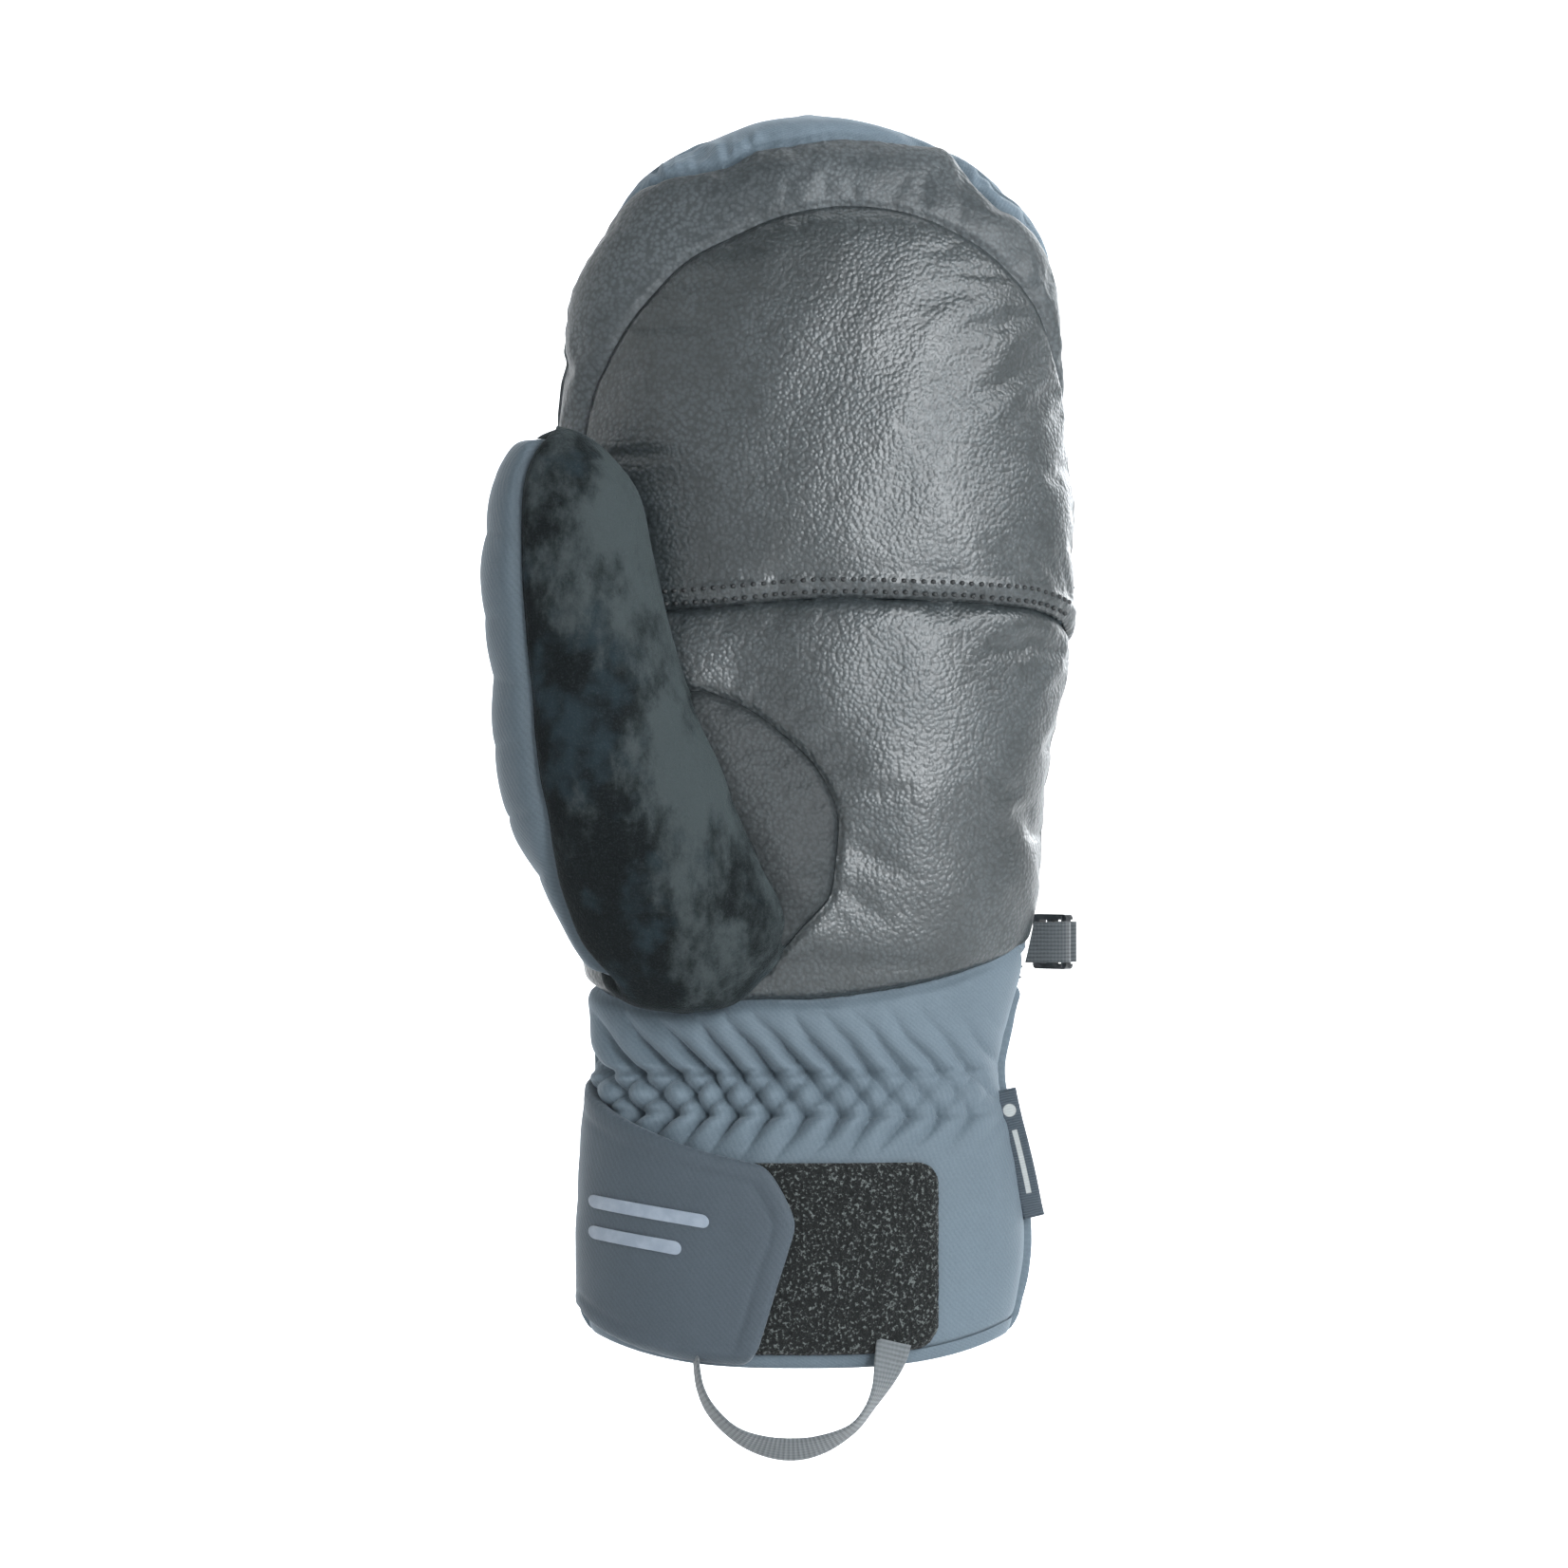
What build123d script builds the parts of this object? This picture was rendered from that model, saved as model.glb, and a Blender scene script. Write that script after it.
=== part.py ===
"""A padded ski mitten for the left hand, as a bench assembly of its cut pieces.

Frame, in millimetres: the origin is the centre of the hand opening, in the plane of the cuff's hem. +Z runs
to the fingertips, -Y is the palm, +Y is the back of the hand, and the thumb is on the -X side.

The mitten is a nest of bags. Each layer lies between two forms, which are the outer shape drawn in by an
inset. Outside in, the layers are the skin of leather and softshell, the insulation, the waterproof
membrane and the fleece lining. The skin is cut along its seams into panels. The thumb is a second nest,
set on the palm, and its inside opens into the hand's.
"""

import os

from build123d import *

os.makedirs("parts", exist_ok=True)

# ---- driving dimensions -------------------------------------------------------------------------------

# Outer shape of the hand, at each height: the thumb-side edge, the little-finger edge and the depth.
HAND_STATIONS = [
    (0, -50.3, 48.5, 50),
    (20, -50.3, 50.5, 54),
    (42, -50.3, 49.2, 53),
    (64, -49.4, 44.8, 46),
    (86, -50.4, 50.0, 52),
    (112, -51.0, 54.8, 58),
    (142, -52.6, 58.6, 61),
    (172, -55.4, 61.4, 61),
    (202, -56.4, 62.0, 58),
    (226, -56.0, 60.4, 53),
    (246, -52.8, 58.0, 47),
    (262, -44.5, 50.6, 40),
    (275, -30.0, 36.5, 32),
    (284, -14.0, 19.0, 25),
]
HAND_TIP_FROM = 226  # above this height the inner forms are also drawn down

# Outer shape of the thumb, at each height: its outer and inner edges, its palm side and its back side.
THUMB_STATIONS = [
    (80, -45.0, -15.0, -25.0, 0.0),
    (90, -52.0, -6.0, -36.0, 4.0),
    (104, -59.0, -3.5, -43.0, 4.0),
    (120, -66.0, -10.5, -47.0, 0.0),
    (137, -70.0, -18.5, -48.5, -5.0),
    (154, -71.5, -27.0, -48.5, -8.5),
    (172, -73.0, -33.0, -47.5, -10.5),
    (189, -72.5, -37.3, -45.5, -11.5),
    (200, -70.5, -41.0, -42.5, -13.5),
    (209, -66.5, -46.5, -38.5, -17.5),
]
THUMB_TIP_FROM = 172

# Where each layer starts and ends, inward from the outer shape.
SKIN = (0.0, 1.2)
INSULATION = (1.5, 5.5)
MEMBRANE = (5.8, 6.2)
LINING = (6.5, 8.5)
THUMB_INSULATION = (1.5, 4.8)
THUMB_MEMBRANE = (5.1, 5.5)
THUMB_LINING = (5.8, 7.4)
HEM_TAPE = (1.5, 2.4)
CUFF_PADDING = (2.8, 6.2)

CUFF_TOP = 62  # where the gauntlet is sewn to the hand
PADDING_BOTTOM = 70  # the hand's insulation starts above the elastic
ELASTIC_LOW, ELASTIC_HIGH = 51, 67
HEM_HEIGHT = 12
FAR = 120  # longer than anything that is cut

# The closure: a flap that wraps from the back, round the thumb-side edge, onto the palm side of the cuff.
FLAP_INNER = (-0.3, -3.9)  # outset across and in depth, so it stands clear of the patch in front
FLAP_OUTER = (-1.9, -5.4)
WRAP_INNER, WRAP_OUTER = -0.3, -1.9
PATCH_LOW, PATCH_HIGH = 3.0, 43.0
PATCH_LEFT, PATCH_RIGHT = -32.0, 29.5
PATCH_OUTSET = (-1.5, -0.1)
FOLD_GAP = 0.25  # either side of the fold line, so that the flap clears the wrap as it opens

# The pull loop, a narrow tape sewn to the hem.
LOOP_WIDTH, LOOP_THICK = 6.6, 0.9
LOOP_LEFT, LOOP_RIGHT, LOOP_DROP = -23.0, 19.5, -21.6
LOOP_FACE = -24.9  # depth of the tape's outer face, in front of the hem
LOOP_HINGE_Z = -0.9
ANCHOR_LOW, ANCHOR_HIGH = -0.35, 0.25  # the sewn ends stop just below the flap's lower edge

# The clip that joins a pair of mittens, on its webbing tab.
CLIP_Z = 93.5
CLIP_BAR = (60.6, 8.0)
BAR_RADIUS = 1.2
TAB_WIDTH, TAB_THICK = 9.4, 1.0
CLIP_WIDTH, CLIP_REACH, CLIP_THICK = 12.8, 11.6, 2.2
CLIP_TURN = 130  # from +X towards the back of the hand

# ---- forms --------------------------------------------------------------------------------------------


def hand_form(inset, depth_inset=None):
    """The solid inside the hand's outer shape, drawn in by inset, or out where it is negative."""
    depth_inset = inset if depth_inset is None else depth_inset
    tip = HAND_STATIONS[-1][0]
    with BuildPart() as form:
        for z, left, right, depth in HAND_STATIONS:
            drawn = max(0, (z - HAND_TIP_FROM) / (tip - HAND_TIP_FROM)) * inset
            with BuildSketch(Plane.XY.offset(z - drawn)):
                with Locations(((left + right) / 2, 0)):
                    Ellipse((right - left) / 2 - inset, depth / 2 - depth_inset)
        loft()
    return form.part


def thumb_form(inset):
    """The solid inside the thumb's outer shape, drawn in by inset."""
    tip, foot = THUMB_STATIONS[-1][0], THUMB_STATIONS[0][0]
    with BuildPart() as form:
        for z, outer, inner, front, back in THUMB_STATIONS:
            drawn = max(0, (z - THUMB_TIP_FROM) / (tip - THUMB_TIP_FROM)) * inset
            lifted = inset if z == foot else 0
            with BuildSketch(Plane.XY.offset(z - drawn + lifted)):
                with Locations(((outer + inner) / 2, (front + back) / 2)):
                    Ellipse((inner - outer) / 2 - inset, (back - front) / 2 - inset)
        loft()
    return form.part


def slab(low, high):
    """Everything between two heights."""
    with BuildPart() as cut:
        with Locations((0, 0, (low + high) / 2)):
            Box(2 * FAR, 2 * FAR, high - low)
    return cut.part


def facing(outline, side):
    """An outline in X and Z, run out over the palm side (side -1), the back (1) or both (0)."""
    with BuildPart() as cut:
        with BuildSketch(Plane.XZ):
            add(outline)
        if side == 0:
            extrude(amount=FAR, both=True)
        else:
            extrude(amount=-side * FAR)
    return cut.part


def write(builder, name):
    builder.part.label = name
    export_step(builder.part, f"parts/{name}.step")


# ---- seam lines, drawn in X and Z ---------------------------------------------------------------------


def below(seam_points, floor):
    """The face under a seam that runs from one side to the other."""
    with BuildSketch() as outline:
        with BuildLine():
            seam = Spline(*seam_points)
            Polyline(seam @ 1, ((seam @ 1).X, floor), ((seam @ 0).X, floor), seam @ 0)
        make_face()
    return outline.sketch


wrist_seam = [(-80, 83), (-14, 80), (18, 81.6), (36, 85.4), (54, 96), (80, 108)]
knuckle_seam = [(-80, 164), (-31, 170.5), (10, 173.4), (45, 172), (80, 160)]
finger_seam = [
    (-53.5, 160),
    (-53, 205),
    (-35, 244.5),
    (-13, 260),
    (8, 264),
    (32, 258),
    (50, 244),
    (66, 205),
    (68, 160),
]
crown_seam = [(-80, 240), (-40, 268), (-15, 275.5), (14, 281), (30, 279), (45, 264), (80, 235)]
back_seam = [(-80, 58), (-48.6, 79), (-34, 89.8), (-16, 95.5), (7, 89.3), (41, 87), (80, 62)]
yoke_seam = [(-80, 60), (-49, 61.3), (-32.6, 63.6), (-11.7, 73.3), (7, 88.7)]

below_wrist = below(wrist_seam, -FAR)
below_knuckle = below(knuckle_seam, -FAR)
below_crown = below(crown_seam, -FAR)
below_back = below(back_seam, -FAR)
inside_fingers = below(finger_seam, 100)

with BuildSketch() as gusset_outline:
    with BuildLine():
        Spline((-36, 154), (-13, 148.5), (3, 134), (8, 117), (5, 102), (-2, 95), (-16, 89))
        Spline((-16, 89), (-14.5, 104), (-21, 120), (-36, 154))
    make_face()

with BuildSketch() as thumb_face_outline:
    with BuildLine():
        edge = Spline((-50, 216), (-60, 206.4), (-65.6, 189), (-65.2, 166), (-62.3, 138), (-60, 115), (-40, 76))
        Polyline(edge @ 1, (30, 76), (30, 216), edge @ 0)
    make_face()

with BuildSketch() as tab_outline:
    with BuildLine():
        Line((-80, 68.6), (-13, 44.8))
        Spline((-13, 44.8), (-6.2, 40.6), (-3, 33.5), tangents=[(1, -0.35), (-0.1, -1)])
        Line((-3, 33.5), (-10, 4.5))
        Spline((-10, 4.5), (-12.6, 1.2), (-18, 0.4), tangents=[(-0.2, -1), (-1, 0)])
        Polyline((-18, 0.4), (-34, 0.6), (-80, 8), (-80, 68.6))
    make_face()

# ---- the hand's skin ----------------------------------------------------------------------------------

hand_outside = hand_form(SKIN[0])
hand_under_skin = hand_form(SKIN[1])
thumb_outside = thumb_form(SKIN[0])
thumb_inside = thumb_form(THUMB_LINING[1])

palm_side = Box(2 * FAR, FAR, 6 * FAR, align=(Align.CENTER, Align.MAX, Align.CENTER))
back_side = Box(2 * FAR, FAR, 6 * FAR, align=(Align.CENTER, Align.MIN, Align.CENTER))

with BuildPart() as palm_upper_leather:
    add(hand_outside)
    add(palm_side, mode=Mode.INTERSECT)
    add(facing(inside_fingers, -1), mode=Mode.INTERSECT)
    add(facing(below_knuckle, -1), mode=Mode.SUBTRACT)
    add(hand_under_skin, mode=Mode.SUBTRACT)
write(palm_upper_leather, "palm_upper_leather")

with BuildPart() as palm_lower_leather:
    add(hand_outside)
    add(facing(below_knuckle, -1), mode=Mode.INTERSECT)
    add(facing(below_wrist, -1), mode=Mode.SUBTRACT)
    add(facing(gusset_outline.sketch, -1), mode=Mode.SUBTRACT)
    add(hand_under_skin, mode=Mode.SUBTRACT)
    add(thumb_inside, mode=Mode.SUBTRACT)
write(palm_lower_leather, "palm_lower_leather")

with BuildPart() as thumb_gusset_leather:
    add(hand_outside)
    add(facing(gusset_outline.sketch, -1), mode=Mode.INTERSECT)
    add(hand_under_skin, mode=Mode.SUBTRACT)
    add(thumb_inside, mode=Mode.SUBTRACT)
write(thumb_gusset_leather, "thumb_gusset_leather")

with BuildPart() as fingertip_leather:
    add(hand_outside)
    add(facing(below_crown, -1), mode=Mode.INTERSECT)
    add(facing(below_knuckle, -1), mode=Mode.SUBTRACT)
    add(facing(inside_fingers, -1), mode=Mode.SUBTRACT)
    add(hand_under_skin, mode=Mode.SUBTRACT)
write(fingertip_leather, "fingertip_leather")

with BuildPart() as palm_wrist_fabric:
    add(hand_outside)
    add(facing(below_wrist, -1), mode=Mode.INTERSECT)
    add(slab(CUFF_TOP, 2 * FAR), mode=Mode.INTERSECT)
    add(hand_under_skin, mode=Mode.SUBTRACT)
    add(thumb_inside, mode=Mode.SUBTRACT)
write(palm_wrist_fabric, "palm_wrist_fabric")

with BuildPart() as back_shell:
    add(hand_outside)
    add(facing(below_back, 1), mode=Mode.SUBTRACT)
    add(facing(below_crown, -1), mode=Mode.SUBTRACT)
    add(slab(-1, CUFF_TOP), mode=Mode.SUBTRACT)
    add(hand_under_skin, mode=Mode.SUBTRACT)
write(back_shell, "back_shell")

with BuildPart() as wrist_yoke:
    add(hand_outside)
    add(facing(below_back, 1), mode=Mode.INTERSECT)
    add(slab(CUFF_TOP, 2 * FAR), mode=Mode.INTERSECT)
    add(hand_under_skin, mode=Mode.SUBTRACT)
write(wrist_yoke, "wrist_yoke")

with BuildPart() as cuff_shell:
    add(hand_outside)
    add(slab(-1, CUFF_TOP), mode=Mode.INTERSECT)
    add(hand_under_skin, mode=Mode.SUBTRACT)
write(cuff_shell, "cuff_shell")

# ---- what lies inside the hand ------------------------------------------------------------------------


def layer(between, low, high):
    """The hand between two insets, open at the cuff and where the thumb goes in."""
    with BuildPart() as built:
        add(hand_form(between[0]))
        add(slab(low, high), mode=Mode.INTERSECT)
        add(hand_form(between[1]), mode=Mode.SUBTRACT)
        add(thumb_inside, mode=Mode.SUBTRACT)
    return built.part


hand_padding = layer(INSULATION, PADDING_BOTTOM, 3 * FAR)
for name, half in (("palm_insulation", palm_side), ("back_insulation", back_side)):
    with BuildPart() as padding:
        add(hand_padding)
        add(half, mode=Mode.INTERSECT)
    write(padding, name)

for name, between, low, high in (
    ("hand_membrane", MEMBRANE, PADDING_BOTTOM, 3 * FAR),
    ("hand_lining", LINING, CUFF_TOP, 3 * FAR),
    ("cuff_lining", LINING, 0.5, CUFF_TOP),
    ("cuff_padding", CUFF_PADDING, HEM_HEIGHT + 1, PADDING_BOTTOM - 1),
    ("cuff_hem", HEM_TAPE, 0, HEM_HEIGHT),
):
    with BuildPart() as piece:
        add(layer(between, low, high))
    write(piece, name)

with BuildPart() as wrist_elastic:
    add(layer(HEM_TAPE, ELASTIC_LOW, ELASTIC_HIGH))
    add(palm_side, mode=Mode.INTERSECT)
write(wrist_elastic, "wrist_elastic")

# ---- the thumb ----------------------------------------------------------------------------------------

hand_keep_clear = hand_form(-0.1)
suede_side = facing(thumb_face_outline.sketch, 0)
for name, inside_outline in (("thumb_suede_face", True), ("thumb_back_fabric", False)):
    with BuildPart() as skin:
        add(thumb_outside)
        add(suede_side, mode=Mode.INTERSECT if inside_outline else Mode.SUBTRACT)
        add(thumb_form(SKIN[1]), mode=Mode.SUBTRACT)
        add(hand_keep_clear, mode=Mode.SUBTRACT)
    write(skin, name)

for name, between in (
    ("thumb_insulation", THUMB_INSULATION),
    ("thumb_membrane", THUMB_MEMBRANE),
    ("thumb_lining", THUMB_LINING),
):
    with BuildPart() as inner:
        add(thumb_form(between[0]))
        add(thumb_form(between[1]), mode=Mode.SUBTRACT)
        add(hand_keep_clear, mode=Mode.SUBTRACT)
    write(inner, name)

# ---- the closure --------------------------------------------------------------------------------------

with BuildSketch() as wrap_outline:
    with BuildLine():
        Spline(*yoke_seam)
        Spline((7, 88.7), (24, 87.4), (40, 85.6), (48, 80), (50, 66))
        Polyline((50, 66), (80, 60), (80, 0.5), (-80, 0.5), (-80, 60))
    make_face()

with BuildPart() as cuff_wrap:
    add(hand_form(WRAP_OUTER))
    add(facing(wrap_outline.sketch, 1), mode=Mode.INTERSECT)
    add(hand_form(WRAP_INNER), mode=Mode.SUBTRACT)
    Box(2 * FAR, 2 * FOLD_GAP, 6 * FAR, mode=Mode.SUBTRACT)
write(cuff_wrap, "cuff_wrap")

with BuildPart() as closure_flap:
    add(hand_form(*FLAP_OUTER))
    add(facing(tab_outline.sketch, -1), mode=Mode.INTERSECT)
    add(hand_form(*FLAP_INNER), mode=Mode.SUBTRACT)
    Box(2 * FAR, 2 * FOLD_GAP, 6 * FAR, mode=Mode.SUBTRACT)
write(closure_flap, "closure_flap")

with BuildSketch() as hook_outline:
    with Locations((-17.5, 23)):
        RectangleRounded(17, 30, 3)

with BuildPart() as flap_hook_tape:
    add(hand_form(-0.25, -3.85))
    add(facing(hook_outline.sketch, -1), mode=Mode.INTERSECT)
    add(hand_form(0, -2.6), mode=Mode.SUBTRACT)
write(flap_hook_tape, "flap_hook_tape")

with BuildSketch() as patch_outline:
    with Locations(((PATCH_LEFT + PATCH_RIGHT) / 2, (PATCH_LOW + PATCH_HIGH) / 2)):
        RectangleRounded(PATCH_RIGHT - PATCH_LEFT, PATCH_HIGH - PATCH_LOW, 4)

with BuildPart() as closure_patch:
    add(hand_form(PATCH_OUTSET[0]))
    add(facing(patch_outline.sketch, -1), mode=Mode.INTERSECT)
    add(hand_form(PATCH_OUTSET[1]), mode=Mode.SUBTRACT)
write(closure_patch, "closure_patch")

with BuildSketch() as bars_outline:
    with Locations((-33, 30)):
        SlotOverall(24, 2.6)
    with Locations((-36, 22)):
        SlotOverall(18, 2.6)

with BuildPart() as flap_print:
    add(hand_form(FLAP_OUTER[0] - 0.2, FLAP_OUTER[1] - 0.2))
    add(facing(bars_outline.sketch, -1), mode=Mode.INTERSECT)
    add(hand_form(FLAP_OUTER[0] - 0.05, FLAP_OUTER[1] - 0.05), mode=Mode.SUBTRACT)
write(flap_print, "flap_print")

# ---- the print on the back: a plain six-armed snow crystal ---------------------------------------------

CRYSTAL_AT, CRYSTAL_ARM, CRYSTAL_LINE = (-24, 171.7), 10.5, 1.8

with BuildSketch() as crystal_outline:
    with Locations(CRYSTAL_AT):
        for turn in (30, 90, 150):
            Rectangle(2 * CRYSTAL_ARM, CRYSTAL_LINE, rotation=turn)
        with PolarLocations(CRYSTAL_ARM * 0.62, 6, start_angle=30):
            Rectangle(3.8, CRYSTAL_LINE * 0.8, rotation=60, align=(Align.MIN, Align.CENTER))
            Rectangle(3.8, CRYSTAL_LINE * 0.8, rotation=-60, align=(Align.MIN, Align.CENTER))

with BuildPart() as back_print:
    add(hand_form(-0.25))
    add(facing(crystal_outline.sketch, 1), mode=Mode.INTERSECT)
    add(hand_form(-0.05), mode=Mode.SUBTRACT)
write(back_print, "back_print")

# ---- the pull loop ------------------------------------------------------------------------------------

loop_middle = (LOOP_LEFT + LOOP_RIGHT) / 2
loop_radius = (LOOP_RIGHT - LOOP_LEFT) / 2

with BuildPart() as pull_loop:
    with BuildSketch(Plane.XZ.offset(-LOOP_FACE - LOOP_THICK)):
        with BuildLine():
            Line((LOOP_LEFT, LOOP_HINGE_Z), (LOOP_LEFT, LOOP_HINGE_Z - 2))
            EllipticalCenterArc(
                (loop_middle, LOOP_HINGE_Z - 2),
                loop_radius,
                -LOOP_DROP - 2 + LOOP_HINGE_Z,
                start_angle=180,
                arc_size=180,
            )
            Line((LOOP_RIGHT, LOOP_HINGE_Z - 2), (LOOP_RIGHT, LOOP_HINGE_Z))
        trace(line_width=LOOP_WIDTH)
    extrude(amount=LOOP_THICK)
    with Locations((0, 0, LOOP_HINGE_Z)):
        Box(2 * FAR, 2 * FAR, FAR, align=(Align.CENTER, Align.CENTER, Align.MIN), mode=Mode.SUBTRACT)
write(pull_loop, "pull_loop")

for name, x in (("loop_anchor_left", LOOP_LEFT), ("loop_anchor_right", LOOP_RIGHT)):
    with BuildPart() as anchor:
        with Locations((x, LOOP_FACE, (ANCHOR_LOW + ANCHOR_HIGH) / 2)):
            Box(LOOP_WIDTH, 5, ANCHOR_HIGH - ANCHOR_LOW, align=(Align.CENTER, Align.MIN, Align.CENTER))
        add(hand_form(-0.05), mode=Mode.SUBTRACT)
    write(anchor, name)

# ---- the pair clip and its tab ------------------------------------------------------------------------

bar_x, bar_y = CLIP_BAR
with BuildPart() as clip_tab:
    with BuildSketch(Plane.XY.offset(CLIP_Z - TAB_WIDTH / 2)):
        with BuildLine():
            out = Line((50, 0), (56, 0))
            RadiusArc(out @ 1, (bar_x, bar_y - 2.2), -5.2)
        trace(line_width=2 * TAB_THICK)
        with Locations(CLIP_BAR):
            Circle(BAR_RADIUS + 0.3 + TAB_THICK)
            Circle(BAR_RADIUS + 0.3, mode=Mode.SUBTRACT)
    extrude(amount=TAB_WIDTH)
    add(hand_form(-0.15), mode=Mode.SUBTRACT)
write(clip_tab, "clip_tab")

clip_plane = Plane(
    origin=(bar_x, bar_y, CLIP_Z),
    x_dir=Vector(1, 0, 0).rotate(Axis.Z, CLIP_TURN),
    z_dir=Vector(0, 1, 0).rotate(Axis.Z, CLIP_TURN),
)
rail = 1.3
with BuildPart() as pair_clip:
    with BuildSketch(clip_plane) as frame_outline:
        with Locations((CLIP_REACH / 2 - BAR_RADIUS, 0)):
            RectangleRounded(CLIP_REACH, CLIP_WIDTH, 1.1)
        with Locations((1.0, 0)):
            Rectangle(5.6, CLIP_WIDTH - 2 * rail, mode=Mode.SUBTRACT)
        with Locations((6.8, 0)):
            RectangleRounded(2.7, CLIP_WIDTH - 2 * rail, 0.4, mode=Mode.SUBTRACT)
        with Locations((9.4, -0.8)):
            Rectangle(5, 1.7, rotation=-30, mode=Mode.SUBTRACT)
    extrude(amount=CLIP_THICK / 2, both=True)
    with BuildSketch(Plane.XY.offset(CLIP_Z - CLIP_WIDTH / 2 + 0.4)):
        with Locations(CLIP_BAR):
            Circle(BAR_RADIUS)
    extrude(amount=CLIP_WIDTH - 0.8)
write(pair_clip, "pair_clip")

# ---- the side label -----------------------------------------------------------------------------------

LABEL_THICK = 0.5
with BuildPart() as side_label:
    with BuildSketch(Plane.XZ.offset(0.1)):
        with BuildLine():
            Polyline((44, 58), (50.5, 59.5), (55.6, 33), (46, 30), (44, 58))
        make_face()
    extrude(amount=LABEL_THICK)
    add(hand_form(-0.1), mode=Mode.SUBTRACT)
write(side_label, "side_label")
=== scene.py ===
"""The padded ski mitten's looks: its skin of leather and softshell, over the assembly from the CAD.

Lengths are in millimetres until a mesh is made. The hand and the thumb are each one smooth form, given by
its outline at a few heights. A form is sampled on a fine grid of angle and height. Angle 0 is the
little-finger edge (+X), 90 the back of the hand (+Y), 180 the thumb-side edge and 270 the palm. A panel is
the part of that grid inside its seams, and its edge rolls down into the seam.
"""

import math

import bpy
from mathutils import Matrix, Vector
import numpy as np


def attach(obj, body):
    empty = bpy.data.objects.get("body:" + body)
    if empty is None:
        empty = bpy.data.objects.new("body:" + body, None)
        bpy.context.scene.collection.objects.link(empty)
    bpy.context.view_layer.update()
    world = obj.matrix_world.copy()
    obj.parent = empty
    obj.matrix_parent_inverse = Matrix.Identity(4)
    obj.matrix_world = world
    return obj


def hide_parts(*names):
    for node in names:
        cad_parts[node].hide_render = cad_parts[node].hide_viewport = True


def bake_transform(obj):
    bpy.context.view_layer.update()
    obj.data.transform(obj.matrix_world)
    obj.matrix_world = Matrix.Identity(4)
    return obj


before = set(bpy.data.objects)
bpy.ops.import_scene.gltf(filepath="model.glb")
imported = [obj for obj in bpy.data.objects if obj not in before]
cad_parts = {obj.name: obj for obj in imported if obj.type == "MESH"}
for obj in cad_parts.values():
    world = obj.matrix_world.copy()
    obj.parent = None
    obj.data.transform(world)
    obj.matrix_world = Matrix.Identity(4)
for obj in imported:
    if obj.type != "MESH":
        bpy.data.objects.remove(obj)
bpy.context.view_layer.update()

MM = 0.001
PALM, BACK = "palm", "back"


# ---- small maths --------------------------------------------------------------------------------------


def smooth_curve(knots, count):
    """Points on a smooth curve through the knots, evenly spaced in the knots' own order."""
    knots = np.asarray(knots, float)
    place = np.linspace(0, len(knots) - 1, count)
    first = np.clip(place.astype(int), 0, len(knots) - 2)
    part = (place - first)[:, None]
    slopes = np.gradient(knots, axis=0)
    a, b, sa, sb = knots[first], knots[first + 1], slopes[first], slopes[first + 1]
    p2, p3 = part**2, part**3
    return (2 * p3 - 3 * p2 + 1) * a + (p3 - 2 * p2 + part) * sa + (3 * p2 - 2 * p3) * b + (p3 - p2) * sb


def run_along(points):
    """How far each point lies along the line through them."""
    return np.concatenate([[0], np.cumsum(np.linalg.norm(np.diff(points, axis=0), axis=1))])


def even_curve(knots, step):
    """The same curve with points about one step apart."""
    dense = smooth_curve(knots, 40 * len(knots))
    along = run_along(dense)
    wanted = np.linspace(0, along[-1], max(2, int(round(along[-1] / step)) + 1))
    return np.stack([np.interp(wanted, along, dense[:, k]) for k in range(dense.shape[1])], axis=1)


def ramp(value, low, high):
    """0 below low, 1 above high, smooth between."""
    part = np.clip((value - low) / (high - low), 0, 1)
    return part * part * (3 - 2 * part)


def bell(gap, width):
    """1 where there is no gap, falling to nothing over about twice the width."""
    return np.exp(-((gap / width) ** 2))


def unit(vectors):
    return vectors / np.linalg.norm(vectors, axis=1, keepdims=True)


def waves(x, z, size, seed, octaves=2):
    """Smooth noise between about -1 and 1, with features of the given size."""
    draw = np.random.default_rng(seed)
    total = np.zeros_like(x, dtype=float)
    for octave in range(octaves):
        for _ in range(5):
            turn, phase = draw.uniform(0, 2 * math.pi, 2)
            stretch = draw.uniform(0.7, 1.4) * 2 * math.pi / size * 2**octave
            total += np.sin((x * math.cos(turn) + z * math.sin(turn)) * stretch + phase) / 5 / 1.6**octave
    return total


def distance_to_line(x, z, line, stretch=1.0):
    """Distance from each point to a line of segments, with x measured stretch times as long."""
    best = np.full(x.shape, 1e9)
    for (ax, az), (bx, bz) in zip(line[:-1], line[1:]):
        dx, dz = (bx - ax) * stretch, bz - az
        length = dx * dx + dz * dz + 1e-9
        px, pz = (x - ax) * stretch, z - az
        part = np.clip((px * dx + pz * dz) / length, 0, 1)
        best = np.minimum(best, (px - part * dx) ** 2 + (pz - part * dz) ** 2)
    return np.sqrt(best)


def inside(x, z, outline):
    """Whether each point is inside a closed outline."""
    found = np.zeros(x.shape, bool)
    for (ax, az), (bx, bz) in zip(outline, np.roll(outline, -1, axis=0)):
        crosses = (az > z) != (bz > z)
        with np.errstate(divide="ignore", invalid="ignore"):
            found ^= crosses & (x < (bx - ax) * (z - az) / (bz - az) + ax)
    return found


# ---- forms --------------------------------------------------------------------------------------------


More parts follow.
